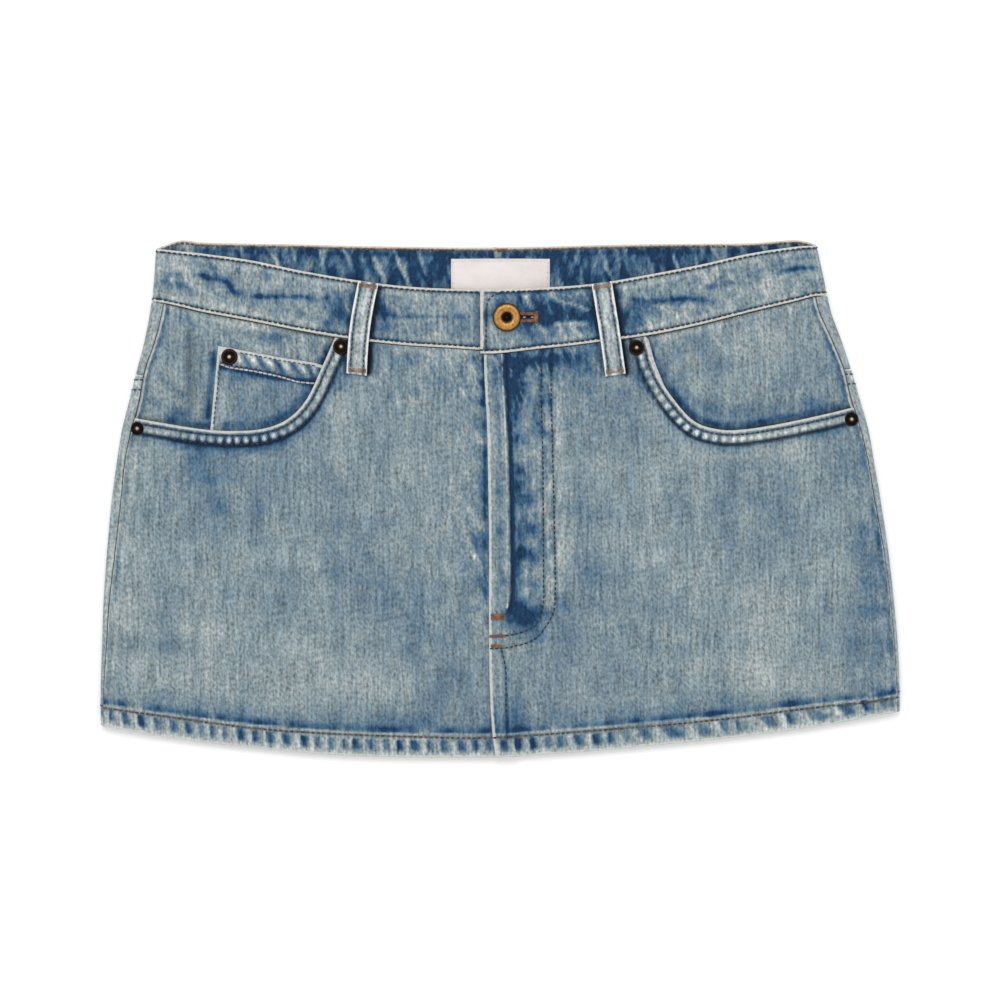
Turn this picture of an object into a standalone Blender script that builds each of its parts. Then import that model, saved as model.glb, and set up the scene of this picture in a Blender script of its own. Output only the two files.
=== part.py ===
"""Low-rise denim mini skirt, laid flat on its back with the front facing up.

Axes: +X to the viewer's right across the front, +Y from the hem to the waist, +Z up off the
surface that the skirt lies on.  The origin is under the middle of the skirt's box.
"Left" and "right" are as seen from the front.

The skirt is a flattened tube.  Its front layer runs between the side seams, the back layer
wraps round both side folds to meet it, and every piece of cloth is a grid laid on that tube
and given its wall by Solidify.  All the sizes below are in millimetres.
"""

import math
from collections import namedtuple

import bmesh
import bpy
from mathutils import Matrix, Vector

MM = 0.001
SKIRT_NAME = "denim_skirt"

# Cloth and hardware thicknesses.
DENIM_WALL = 1.1
HEM_WALL = 1.8
BAND_WALL = 2.0
LOOP_WALL = 1.5
LABEL_WALL = 1.0
LAYER_GAP = 0.3
SEAM_GAP = 0.8
WAIST_GAP = 0.5

# Half the skirt's width at the hem, and how high the flattened tube stands.
SKIRT_HALF = 240.0
FOLD_RADIUS = 3.0
FOLD_SPREAD = 45.0
BAND_FOLD_RADIUS = 3.3
PANEL_HEIGHT = 4.4
POCKET_RISE = 1.2
POCKET_INNER_X = 72.0
POCKET_FULL_X = 92.0
POCKET_FOOT_Y = 12.0
POCKET_FULL_Y = 36.0
HEM_RISE = 0.6
HEM_FADE = 45.0
BAND_HEIGHT = 6.2
BAND_PROUD = 0.7
BAND_BLEND = 60.0

# The turned hem, and the fly where the right front laps over the left.
HEM_DEPTH = 12.6
FLY_UNDERLAP = 11.0
FLY_LAP_RISE = 1.5
HEM_LAP_RISE = 0.8
FLY_LAP_FALL = 4.5
BAND_LAP_RISE = 2.4
BAND_LAP_FULL = 24.0
BAND_LAP_END = 50.0
BAND_OVERLAP_X = -12.0
BAND_UNDERLAP_X = 19.0
OVERLAP_DROOP = 2.2
OVERLAP_DROOP_WIDTH = 22.0

# The rise of the front band over the label, and of the back over its own belt loop.
LABEL_RISE = 1.5
LABEL_RISE_WIDTH = 42.0
LABEL_RISE_START_Y = 94.0
LABEL_RISE_FULL_Y = 117.0
CENTRE_BACK_X = 0.9
BACK_LOOP_X = 0.9
BACK_LIFT_FLAT = 8.5
BACK_LIFT_END = 28.0
BACK_LIFT_FOOT = 5.0
BACK_LIFT_COLUMNS = (30.0, 17.5, 9.5)

# Pocket pieces run on under the scooped edge of the front panel.
FACING_TUCK = 6.0
COIN_TUCK = 4.0
FACING_DROP = 1.6
COIN_FACING_DROP = 3.0
FACING_SIDE_GAP = 0.8
FACING_BEND = 0.40
COIN_BEND = 0.33
COIN_SCOOP_START = 0.12
COIN_SCOOP_END = 0.64
FACING_RELAX = 45.0
FACING_FAR_DROP = 1.0

# Belt loops.
LOOP_WIDTH = 12.3
LOOP_ARCH = 0.5
LOOP_LENGTH = 56.0
LOOP_STEP_START = 8.0
LOOP_STEP_END = 0.5

# The bare label inside the back waistband.
LABEL_LEFT = -29.5
LABEL_RIGHT = 29.9
LABEL_TOP = 144.3
LABEL_DEPTH = 25.0

# The waist button and its hole.
BUTTON_X = 4.0
BUTTON_Y = 108.8
BUTTON_SHANK_RADIUS = 2.4
BUTTON_CLEARANCE = 0.6
EYELET_RADIUS = 3.3
SLOT_END_X = 21.0
SLOT_WIDTH = 2.4

# Turned hardware, from the middle of the top outwards and down: the button's rim cap, whose
# heights are up from the cap's underside, and a rivet, whose heights are up from the cloth.
ProfilePoint = namedtuple("ProfilePoint", "radius height")
BUTTON_CAP = (
    ProfilePoint(0.0, 2.3),
    ProfilePoint(1.9, 2.1),
    ProfilePoint(2.4, 1.3),
    ProfilePoint(3.6, 1.4),
    ProfilePoint(4.6, 2.3),
    ProfilePoint(6.2, 2.6),
    ProfilePoint(7.6, 2.2),
    ProfilePoint(8.3, 1.2),
    ProfilePoint(7.9, 0.0),
)
RIVET = (
    ProfilePoint(0.0, 2.3),
    ProfilePoint(0.8, 2.1),
    ProfilePoint(1.3, 1.4),
    ProfilePoint(2.2, 1.5),
    ProfilePoint(3.6, 1.6),
    ProfilePoint(4.4, 0.9),
    ProfilePoint(4.7, 0.3),
    ProfilePoint(0.0, 0.3),
)
SLOPE_PROBE = 3.0
RIVET_SEGMENTS = 20
BUTTON_SEGMENTS = 36

# Columns of a front panel, as shares of its top edge: the scooped mouth takes the first half,
# and the strip beside the front edge takes the last tenth.
SCOOP_SHARE = 0.5
STRIP_SHARE = 0.9
STRIP_WIDTH = FLY_UNDERLAP + FLY_LAP_FALL
HEM_FOOT_X = 118.0
SCOOP_COLUMNS = (0.0, 0.003, 0.010, 0.026, 0.07, 0.13, 0.19, 0.25, 0.31, 0.37, 0.43)
WAIST_COLUMNS = 6
STRIP_COLUMNS = (0.928, 0.965, 1.0)
SEAM_ROWS = 9
HEM_ROWS = (1.5, 1.0, 0.5, 0.0)
FACING_COLUMNS = 12
FACING_ROWS = 8
COIN_COLUMNS = 8
COIN_ROWS = 6

# Columns of a back piece: 0 to 1 goes round the side fold, 1 to 2 on to the centre back.
WRAP_COLUMNS = (0.0, 0.04, 0.12, 0.22, 0.33, 0.44, 0.55, 0.66, 0.77, 0.88, 1.0)
BACK_COLUMNS = (1.14, 1.28, 1.44, 1.6, 1.74, 1.86, 1.92, 1.955, 2.0)
YOKE_ROWS = 6
FOLD_PASSES = 4
QUARTER = math.pi / 2.0

# The waistband's rows and stations.
BAND_ROWS = (0.0, 0.5, 1.0)
BAND_FRONT_STEP = 14.0
BAND_BACK_STEP = 24.0
BAND_FOLD_COLUMNS = 8
BAND_FOLD_MARGIN = 2.0
BAND_MIDDLE_Y = 135.0
BAND_LEAN_START = 60.0
BAND_LEAN_FULL = 188.0
LOOP_ROWS = 12

# Across the skirt at each height: the side folds, and how far in from them the side seams
# lie on the front.
SideStation = namedtuple("SideStation", "y left_fold right_fold left_inset right_inset")
SIDES = (
    SideStation(154.9, -206.2, 189.6, 7.2, 7.2),
    SideStation(149.5, -206.6, 190.6, 7.2, 7.2),
    SideStation(131.5, -207.8, 194.9, 7.2, 7.2),
    SideStation(113.5, -209.9, 198.3, 7.2, 7.0),
    SideStation(95.5, -213.4, 204.8, 6.4, 5.6),
    SideStation(77.5, -218.0, 210.7, 4.8, 4.2),
    SideStation(59.5, -222.5, 216.1, 5.8, 5.2),
    SideStation(41.5, -227.0, 221.1, 5.8, 4.6),
    SideStation(23.5, -229.9, 224.3, 4.8, 3.6),
    SideStation(-0.5, -233.1, 228.4, 5.6, 3.6),
    SideStation(-30.5, -235.9, 232.9, 5.0, 2.6),
    SideStation(-60.5, -238.0, 236.3, 3.6, 2.0),
    SideStation(-90.5, -239.1, 238.9, 2.7, 2.0),
    SideStation(-120.5, -239.8, 239.9, 1.6, 1.4),
    SideStation(-140.0, -239.4, 239.6, 1.4, 1.3),
)

# Down the skirt at each place across it.
AcrossStation = namedtuple("AcrossStation", "x band_top band_bottom back_top back_bottom yoke hem")
ACROSS = (
    AcrossStation(-240.0, 149.9, 118.6, 151.0, 118.6, 75.0, -135.8),
    AcrossStation(-206.5, 149.9, 118.3, 151.2, 118.4, 74.5, -141.8),
    AcrossStation(-192.0, 148.6, 115.6, 154.9, 118.0, 73.6, -144.0),
    AcrossStation(-180.0, 147.4, 112.6, 153.1, 117.8, 73.0, -145.6),
    AcrossStation(-150.0, 143.3, 107.0, 152.3, 117.0, 71.2, -148.9),
    AcrossStation(-120.0, 137.1, 101.1, 151.8, 116.2, 68.8, -152.0),
    AcrossStation(-90.0, 131.9, 96.1, 151.0, 115.5, 65.5, -153.9),
    AcrossStation(-60.0, 127.9, 92.6, 150.5, 115.0, 61.5, -154.8),
    AcrossStation(-30.0, 126.1, 90.7, 150.0, 114.6, 57.0, -155.0),
    AcrossStation(0.0, 125.9, 90.2, 149.6, 114.4, 52.0, -154.7),
    AcrossStation(30.0, 126.9, 92.8, 150.6, 114.8, 57.0, -153.0),
    AcrossStation(60.0, 129.7, 96.3, 151.4, 115.4, 61.5, -150.8),
    AcrossStation(90.0, 134.8, 99.8, 152.0, 116.0, 65.5, -148.0),
    AcrossStation(120.0, 140.6, 105.5, 152.3, 117.0, 69.0, -145.2),
    AcrossStation(150.0, 147.3, 112.6, 152.5, 118.6, 72.5, -141.9),
    AcrossStation(178.0, 151.4, 119.0, 154.9, 121.0, 75.8, -138.3),
    AcrossStation(190.0, 152.0, 121.9, 153.0, 122.4, 77.0, -136.5),
    AcrossStation(240.0, 152.2, 124.4, 152.6, 124.0, 79.6, -127.3),
)

# The folded front edge of the right panel, which laps over the left one, from waist to hem.
FlyStation = namedtuple("FlyStation", "y x")
FLY_EDGE = (
    FlyStation(92.0, -9.8),
    FlyStation(72.7, -9.4),
    FlyStation(45.1, -7.9),
    FlyStation(17.5, -7.3),
    FlyStation(-24.5, -6.7),
    FlyStation(-75.5, -6.7),
    FlyStation(-114.5, -6.2),
    FlyStation(-140.9, -4.6),
    FlyStation(-156.0, -2.5),
)

# The scooped pocket mouths, from the waistband down and out to the side seam.
PlanPoint = namedtuple("PlanPoint", "x y")
LEFT_SCOOP = (
    PlanPoint(-98.8, 97.6),
    PlanPoint(-106.9, 79.0),
    PlanPoint(-115.9, 60.1),
    PlanPoint(-126.7, 48.5),
    PlanPoint(-140.8, 42.5),
    PlanPoint(-157.9, 40.9),
    PlanPoint(-178.3, 41.9),
    PlanPoint(-203.0, 45.8),
    PlanPoint(-221.0, 49.0),
)
RIGHT_SCOOP = (
    PlanPoint(86.9, 99.4),
    PlanPoint(93.5, 77.2),
    PlanPoint(103.9, 60.1),
    PlanPoint(116.6, 46.6),
    PlanPoint(131.2, 41.8),
    PlanPoint(146.0, 41.8),
    PlanPoint(168.0, 45.2),
    PlanPoint(195.2, 51.0),
    PlanPoint(213.6, 55.6),
)

# The coin pocket on the left facing.
COIN_TOP_LEFT = PlanPoint(-169.0, 91.9)
COIN_TOP_MIDDLE = PlanPoint(-131.5, 85.0)
COIN_TOP_RIGHT = PlanPoint(-110.5, 81.7)
COIN_BOTTOM_LEFT = PlanPoint(-174.4, 41.5)

# Front belt loops: the middles of their upper and lower ends.
LoopEnds = namedtuple("LoopEnds", "name top bottom")
FRONT_LOOPS = (
    LoopEnds("belt_loop_front_left", PlanPoint(-78.9, 129.8), PlanPoint(-86.0, 74.8)),
    LoopEnds("belt_loop_front_right", PlanPoint(60.8, 129.5), PlanPoint(69.2, 74.4)),
)

# Rivets: the layer each one is clinched on, and its middle.
RivetPlace = namedtuple("RivetPlace", "name layer x y")
RIVETS = (
    RivetPlace("rivet_coin_pocket", "coin", -162.2, 85.2),
    RivetPlace("rivet_left_waist", "left", -95.3, 91.4),
    RivetPlace("rivet_left_side", "left", -217.4, 42.3),
    RivetPlace("rivet_right_waist", "right", 81.8, 90.8),
    RivetPlace("rivet_right_side", "right", 210.6, 47.9),
)

# Colour (linear red, green, blue), roughness and metallic value of each finish.
Finish = namedtuple("Finish", "colour roughness metallic")
FINISHES = {
    "denim": Finish((0.26, 0.36, 0.44), 0.92, 0.0),
    "denim_pale": Finish((0.42, 0.47, 0.48), 0.92, 0.0),
    "label": Finish((0.85, 0.85, 0.82), 0.8, 0.0),
    "brass": Finish((0.50, 0.33, 0.13), 0.38, 1.0),
    "rivet": Finish((0.16, 0.09, 0.05), 0.42, 1.0),
}


# --------------------------------------------------------------------------------------
# Curves and blends
# --------------------------------------------------------------------------------------

def smoothstep(start, end, value):
    """Rise smoothly from 0 at start to 1 at end."""
    t = min(max((value - start) / (end - start), 0.0), 1.0)
    return t * t * (3.0 - 2.0 * t)


def lerp(first, second, t):
    """Value between first and second."""
    return first + (second - first) * t


def bell(value, width):
    """1 at zero, fading smoothly to 0 over about twice the width."""
    return math.exp(-(value / width) ** 2)


def spaced(start, end, steps):
    """Even stations from start to end."""
    return [lerp(start, end, i / steps) for i in range(steps + 1)]


class Curve:
    """A smooth curve through a table's named columns (cubic Hermite)."""

    def __init__(self, rows, station, value):
        pairs = sorted((getattr(row, station), getattr(row, value)) for row in rows)
        self.at = [pair[0] for pair in pairs]
        self.values = [pair[1] for pair in pairs]
        last = len(pairs) - 1
        self.slopes = []
        for i in range(len(pairs)):
            before, after = max(i - 1, 0), min(i + 1, last)
            run = self.at[after] - self.at[before]
            self.slopes.append((self.values[after] - self.values[before]) / run)

    def __call__(self, station):
        station = min(max(station, self.at[0]), self.at[-1])
        i = 0
        while i < len(self.at) - 2 and station > self.at[i + 1]:
            i += 1
        step = self.at[i + 1] - self.at[i]
        t = (station - self.at[i]) / step
        t2, t3 = t * t, t * t * t
        start = (2 * t3 - 3 * t2 + 1) * self.values[i] + (t3 - 2 * t2 + t) * step * self.slopes[i]
        end = (3 * t2 - 2 * t3) * self.values[i + 1] + (t3 - t2) * step * self.slopes[i + 1]
        return start + end


left_fold = Curve(SIDES, "y", "left_fold")
right_fold = Curve(SIDES, "y", "right_fold")
left_inset = Curve(SIDES, "y", "left_inset")
right_inset = Curve(SIDES, "y", "right_inset")
band_top = Curve(ACROSS, "x", "band_top")
band_bottom = Curve(ACROSS, "x", "band_bottom")
back_top = Curve(ACROSS, "x", "back_top")
back_bottom = Curve(ACROSS, "x", "back_bottom")
yoke_seam = Curve(ACROSS, "x", "yoke")
hem_line = Curve(ACROSS, "x", "hem")
fly_edge = Curve(FLY_EDGE, "y", "x")


class Path:
    """A plan curve through points, read by its own length from 0 to 1."""

    SAMPLES_PER_SPAN = 12

    def __init__(self, points, smooth=True):
        points = [Vector((p[0], p[1])) for p in points]
        self.points = []
        last = len(points) - 1
        for i in range(last):
            before, after = points[max(i - 1, 0)], points[min(i + 2, last)]
            for k in range(self.SAMPLES_PER_SPAN):
                t = k / self.SAMPLES_PER_SPAN
                if smooth:
                    point = catmull_rom(before, points[i], points[i + 1], after, t)
                else:
                    point = points[i].lerp(points[i + 1], t)
                self.points.append(point)
        self.points.append(points[-1])
        self.measure()

    def measure(self):
        """Note how far along each sample lies."""
        self.run = [0.0]
        for one, two in zip(self.points, self.points[1:]):
            self.run.append(self.run[-1] + (two - one).length)

    def at(self, fraction):
        """Point at a fraction of the length."""
        target = min(max(fraction, 0.0), 1.0) * self.run[-1]
        i = 0
        while i < len(self.run) - 2 and target > self.run[i + 1]:
            i += 1
        step = self.run[i + 1] - self.run[i]
        return self.points[i].lerp(self.points[i + 1], (target - self.run[i]) / step)

    def side_step(self, fraction, distance):
        """Point beside the path: positive distance is to the left of its run."""
        ahead = self.at(min(fraction + 0.01, 1.0)) - self.at(max(fraction - 0.01, 0.0))
        ahead.normalize()
        return self.at(fraction) + Vector((-ahead.y, ahead.x)) * distance

    def distance(self, x, y):
        """Distance in plan from a place to the path."""
        place = Vector((x, y))
        return min((place - point).length for point in self.points)


def catmull_rom(before, start, end, after, t):
    """Point on the smooth span from start to end."""
    a = (end - before) * 0.5
    b = (after - start) * 0.5
    t2, t3 = t * t, t * t * t
    return ((2 * t3 - 3 * t2 + 1) * start + (t3 - 2 * t2 + t) * a
            + (3 * t2 - 2 * t3) * end + (t3 - t2) * b)


left_scoop = Path(LEFT_SCOOP)
right_scoop = Path(RIGHT_SCOOP)


# --------------------------------------------------------------------------------------
# Heights of the flattened tube
# --------------------------------------------------------------------------------------

def back_lift(x, y):
    """How far the back rises to pass over its own belt loop."""
    across = 1.0 - smoothstep(BACK_LIFT_FLAT, BACK_LIFT_END, abs(x - BACK_LOOP_X))
    loop_foot = back_top(BACK_LOOP_X) - LOOP_LENGTH
    down = smoothstep(loop_foot - BACK_LIFT_END, loop_foot - BACK_LIFT_FOOT, y)
    return (LOOP_WALL + LAYER_GAP) * across * down


def underlap_band_height(x, y):
    """Outer height of the front waistband without the overlap."""
    over_label = smoothstep(LABEL_RISE_START_Y, LABEL_RISE_FULL_Y, y) * bell(x, LABEL_RISE_WIDTH)
    return BAND_HEIGHT + LABEL_RISE * over_label


def band_lap(x):
    """Extra height where the right end of the waistband lies on the left end."""
    return BAND_LAP_RISE * (1.0 - smoothstep(BAND_LAP_FULL, BAND_LAP_END, x))


def fly_lap(x, y):
    """Extra height where the right front panel lies on the left one."""
    edge = fly_edge(y) + FLY_UNDERLAP + LAYER_GAP
    over_hem = 1.0 - smoothstep(HEM_DEPTH, HEM_FADE, y - hem_line(x))
    rise = FLY_LAP_RISE + HEM_LAP_RISE * over_hem
    return rise * (1.0 - smoothstep(edge, edge + FLY_LAP_FALL, x))


def fold_distance(x, y):
    """Distance in from the nearer side fold."""
    return min(x - left_fold(y), right_fold(y) - x)


def over_fold(distance, radius, inner):
    """Outer height at a distance in from a side fold, running into the inner height."""
    if distance < radius:
        return radius + math.sqrt(max(radius ** 2 - (radius - distance) ** 2, 0.0))
    return lerp(2.0 * radius, inner, smoothstep(radius, radius + FOLD_SPREAD, distance))


def band_height(x, y, right):
    """Outer height of the front waistband."""
    inner = underlap_band_height(x, y)
    if right:
        inner += band_lap(x)
    return over_fold(fold_distance(x, y), BAND_FOLD_RADIUS, inner)


def body_height(x, y, right):
    """Outer height of the front panels."""
    pocket = smoothstep(POCKET_INNER_X, POCKET_FULL_X, abs(x))
    pocket *= smoothstep(POCKET_FOOT_Y, POCKET_FULL_Y, y)
    hem = 1.0 - smoothstep(HEM_DEPTH, HEM_FADE, y - hem_line(x))
    inner = PANEL_HEIGHT + POCKET_RISE * pocket + HEM_RISE * hem
    seam_y = band_bottom(x)
    near_band = 1.0 - smoothstep(0.0, BAND_BLEND, seam_y - y)
    at_band = underlap_band_height(x, seam_y) - BAND_PROUD
    lap = 0.0
    if right:
        lap = lerp(fly_lap(x, y), band_lap(x), near_band)
    inner = lerp(inner, at_band, near_band) + lap
    return over_fold(fold_distance(x, y), FOLD_RADIUS, inner)


def facing_height(x, y, scoop, drop, right):
    """Outer height of a pocket facing, under the scooped edge and rising away from it."""
    near = 1.0 - smoothstep(0.0, FACING_RELAX, scoop.distance(x, y))
    return body_height(x, y, right) - lerp(FACING_FAR_DROP, drop, near)


def left_facing_height(x, y):
    """Outer height of the left facing, which also makes room for the coin pocket."""
    return facing_height(x, y, left_scoop, COIN_FACING_DROP, False)


def right_facing_height(x, y):
    """Outer height of the right facing."""
    return facing_height(x, y, right_scoop, FACING_DROP, True)


def coin_height(x, y):
    """Outer height of the coin pocket, a layer up from the left facing."""
    return left_facing_height(x, y) + DENIM_WALL + LAYER_GAP


HEIGHTS = {
    "left": lambda x, y: body_height(x, y, False),
    "right": lambda x, y: body_height(x, y, True),
    "coin": coin_height,
}


# --------------------------------------------------------------------------------------
# Mesh building
# --------------------------------------------------------------------------------------

def material(name):
    """Principled material of a named finish."""
    found = bpy.data.materials.get(name)
    if found:
        return found
    finish = FINISHES[name]
    made = bpy.data.materials.new(name)
    made.use_nodes = True
    shader = made.node_tree.nodes["Principled BSDF"]
    shader.inputs["Base Color"].default_value = (*finish.colour, 1.0)
    shader.inputs["Roughness"].default_value = finish.roughness
    shader.inputs["Metallic"].default_value = finish.metallic
    made.diffuse_color = (*finish.colour, 1.0)
    return made


def add_object(name, mesh, finish, collection):
    """Put a mesh in the scene as a named sub-part."""
    mesh.materials.append(material(finish))
    mesh.shade_smooth()
    thing = bpy.data.objects.new(name, mesh)
    collection.objects.link(thing)
    return thing


def grid_sheet(name, columns, rows, place, finish, collection):
    """Open sheet: a grid whose columns and rows are sent to space by place(u, v)."""
    bm = bmesh.new()
    across, down = len(columns) - 1, len(rows) - 1
    bmesh.ops.create_grid(bm, x_segments=across, y_segments=down, size=1.0)
    for vert in bm.verts:
        column = round((vert.co.x + 1.0) / 2.0 * across)
        row = round((1.0 - vert.co.y) / 2.0 * down)
        vert.co = Vector(place(columns[column], rows[row])) * MM
    mesh = bpy.data.meshes.new(name)
    bm.to_mesh(mesh)
    bm.free()
    return add_object(name, mesh, finish, collection)


def give_wall(sheet, wall, thick_wall=None, thick_from=None):
    """Solidify a sheet inwards; below thick_from(x) the wall grows to thick_wall."""
    shell = sheet.modifiers.new("wall", "SOLIDIFY")
    shell.thickness = wall * MM
    shell.offset = -1.0
    shell.use_even_offset = True
    shell.use_quality_normals = True
    if thick_wall is None:
        return
    group = sheet.vertex_groups.new(name="turned_hem")
    for vert in sheet.data.vertices:
        x, y = vert.co.x / MM, vert.co.y / MM
        if y < thick_from(x):
            group.add([vert.index], 1.0, "REPLACE")
    shell.thickness = thick_wall * MM
    shell.vertex_group = group.name
    shell.thickness_vertex_group = wall / thick_wall


def patch(top, bottom, left, right):
    """Plan patch between four edges, each a function of 0..1; returns place(u, v)."""
    corner_tl, corner_tr = top(0.0), top(1.0)
    corner_bl, corner_br = bottom(0.0), bottom(1.0)

    def plan(u, v):
        straight = (corner_tl * (1 - u) * (1 - v) + corner_tr * u * (1 - v)
                    + corner_bl * (1 - u) * v + corner_br * u * v)
        across = top(u) * (1 - v) + bottom(u) * v
        down = left(v) * (1 - u) + right(v) * u
        return across + down - straight

    return plan


def raised(plan, height):
    """Give each plan point its height."""
    def place(u, v):
        point = plan(u, v)
        return point.x, point.y, height(point.x, point.y)
    return place


# --------------------------------------------------------------------------------------
# Front: panels, facings and coin pocket
# --------------------------------------------------------------------------------------

def side_seam_x(y, left):
    """Where the side seam lies across the front."""
    if left:
        return left_fold(y) + left_inset(y)
    return right_fold(y) - right_inset(y)


def side_rows(top_y, left):
    """Heights at the side seam of a panel's rows, from its top to the hem."""
    hem_y = side_hem_y(left)
    rows = spaced(top_y, hem_y + HEM_ROWS[0] * HEM_DEPTH, SEAM_ROWS)
    return rows + [hem_y + share * HEM_DEPTH for share in HEM_ROWS[1:]]


def side_hem_y(left):
    """Height of the hem at a side seam."""
    return hem_line(-SKIRT_HALF if left else SKIRT_HALF)


def shares(heights):
    """The same stations as shares of the way from the first to the last."""
    return [(heights[0] - y) / (heights[0] - heights[-1]) for y in heights]


def front_panel_plan(left):
    """Plan of one front panel: scoop, waist seam, side seam, front edge and hem."""
    scoop = left_scoop if left else right_scoop
    outward = -1.0 if left else 1.0
    seam_end = scoop.at(1.0)
    under = FLY_UNDERLAP if left else 0.0

    def edge_x(y):
        return fly_edge(y) + under

    def across(u, corner_x, edge):
        strip_x = edge + outward * STRIP_WIDTH
        if u < STRIP_SHARE:
            return lerp(corner_x, strip_x, (u - SCOOP_SHARE) / (STRIP_SHARE - SCOOP_SHARE))
        return lerp(strip_x, edge, (u - STRIP_SHARE) / (1.0 - STRIP_SHARE))

    def top(u):
        if u < SCOOP_SHARE:
            return scoop.at(1.0 - u / SCOOP_SHARE)
        x = across(u, scoop.at(0.0).x, edge_x(band_bottom(0.0)))
        return Vector((x, panel_top(x, left)))

    def bottom(u):
        foot_x = outward * HEM_FOOT_X
        if u < SCOOP_SHARE:
            side_x = side_seam_x(side_hem_y(left), left) - outward * SEAM_GAP
            x = lerp(side_x, foot_x, u / SCOOP_SHARE)
        else:
            x = across(u, foot_x, edge_x(hem_line(0.0)))
        return Vector((x, hem_line(x)))

    def side(v):
        y = lerp(seam_end.y, bottom(0.0).y, v)
        return Vector((side_seam_x(y, left) - outward * SEAM_GAP, y))

    def front(v):
        y = lerp(top(1.0).y, bottom(1.0).y, v)
        return Vector((edge_x(y), y))

    return patch(fixed_ends(top, side(0.0), front(0.0)), bottom, side, front)


def fixed_ends(edge, start, end):
    """The same edge, with its two ends moved to meet its neighbours exactly."""
    start_shift = start - edge(0.0)
    end_shift = end - edge(1.0)

    def moved(u):
        return edge(u) + start_shift * (1.0 - u) + end_shift * u

    return moved


def panel_top(x, left):
    """Waist seam of a front panel, just under the waistband's lower edge."""
    seam = band_bottom(x) - WAIST_GAP
    if left:
        return seam
    return seam - OVERLAP_DROOP * bell(x - BAND_OVERLAP_X, OVERLAP_DROOP_WIDTH)


def make_front_panel(left, collection):
    """One front panel with its scooped pocket mouth and turned hem."""
    side = "left" if left else "right"
    columns = list(SCOOP_COLUMNS)
    columns += spaced(SCOOP_SHARE, STRIP_SHARE, WAIST_COLUMNS) + list(STRIP_COLUMNS)
    plan = front_panel_plan(left)
    if not left:
        columns.reverse()
    scoop = left_scoop if left else right_scoop
    rows = shares(side_rows(scoop.at(1.0).y, left))
    place = raised(plan, HEIGHTS[side])
    panel = grid_sheet(f"front_panel_{side}", columns, rows, place, "denim", collection)
    give_wall(panel, DENIM_WALL, HEM_WALL, lambda x: hem_line(x) + HEM_DEPTH)
    return panel


def tucked_edges(scoop, tuck, bend, start=0.0, end=1.0):
    """The two edges under a scooped mouth: down to its bend, and on to the side."""
    outward = 1.0 if scoop.at(1.0).x < 0 else -1.0

    def upper(t):
        return scoop.side_step(lerp(start, bend, t), outward * tuck)

    def lower(t):
        return scoop.side_step(lerp(end, bend, t), outward * tuck)

    return upper, lower


def make_facing(left, collection):
    """Pocket facing: shows inside the scooped mouth, runs on under the panel."""
    name_side = "left" if left else "right"
    scoop = left_scoop if left else right_scoop
    inward = 1.0 if left else -1.0
    upper, lower = tucked_edges(scoop, FACING_TUCK, FACING_BEND)

    corner_x = side_seam_x(panel_top(-inward * SKIRT_HALF, left), left) + inward * FACING_SIDE_GAP
    corner_y = panel_top(corner_x, left)

    def side(v):
        y = lerp(corner_y, scoop.at(1.0).y - FACING_TUCK, v)
        return Vector((side_seam_x(y, left) + inward * FACING_SIDE_GAP, y))

    def top(u):
        x = lerp(corner_x, scoop.at(0.0).x + inward * FACING_TUCK, u)
        return Vector((x, panel_top(x, left) - LAYER_GAP))

    right_edge = fixed_ends(upper, top(1.0), lower(1.0))
    bottom = fixed_ends(lower, side(1.0), lower(1.0))
    top_edge = fixed_ends(top, side(0.0), top(1.0))
    plan = patch(top_edge, bottom, side, right_edge)
    height = left_facing_height if left else right_facing_height
    columns = spaced(0.0, 1.0, FACING_COLUMNS)
    if not left:
        columns.reverse()
    place = raised(plan, height)
    rows = spaced(0.0, 1.0, FACING_ROWS)
    facing = grid_sheet(f"pocket_facing_{name_side}", columns, rows, place, "denim", collection)
    give_wall(facing, DENIM_WALL)
    return facing


def make_coin_pocket(collection):
    """Coin pocket on the left facing, its foot and inner side tucked under the panel."""
    upper, lower = tucked_edges(left_scoop, COIN_TUCK, COIN_BEND, COIN_SCOOP_START, COIN_SCOOP_END)
    top_path = Path((COIN_TOP_LEFT, COIN_TOP_MIDDLE, COIN_TOP_RIGHT, upper(0.0)), smooth=False)
    foot = Vector(COIN_BOTTOM_LEFT) + Vector((0.0, -COIN_TUCK))
    side_path = Path((COIN_TOP_LEFT, foot), smooth=False)
    bottom = fixed_ends(lower, side_path.at(1.0), lower(1.0))
    right_edge = fixed_ends(upper, top_path.at(1.0), lower(1.0))
    plan = patch(top_path.at, bottom, side_path.at, right_edge)
    place = raised(plan, coin_height)
    columns, rows = spaced(0.0, 1.0, COIN_COLUMNS), spaced(0.0, 1.0, COIN_ROWS)
    pocket = grid_sheet("coin_pocket", columns, rows, place, "denim", collection)
    give_wall(pocket, DENIM_WALL)
    return pocket


# --------------------------------------------------------------------------------------
# Back: yokes and panels that wrap round the side folds
# --------------------------------------------------------------------------------------

def unrolled(inset, radius):
    """Length along the fold's surface from the outermost line in to an inset."""
    if inset < radius:
        return radius * math.acos(1.0 - inset / radius)
    return radius * QUARTER + inset - radius


def round_fold(run, radius):
    """Inset and height at a run along the surface; negative runs lie on the front."""
    arc = radius * QUARTER
    turn = min(abs(run), arc) / radius
    inset = radius * (1.0 - math.cos(turn)) + max(abs(run) - arc, 0.0)
    rise = radius * math.sin(turn)
    return inset, radius + rise if run < 0 else radius - rise


def ring_line(front_line, back_line, x, turn):
    """Height of a line that runs round a side fold; turn is 0 on the front, 1 on the back."""
    return lerp(front_line(x), back_line(x), smoothstep(0.0, 1.0, turn))


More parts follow.
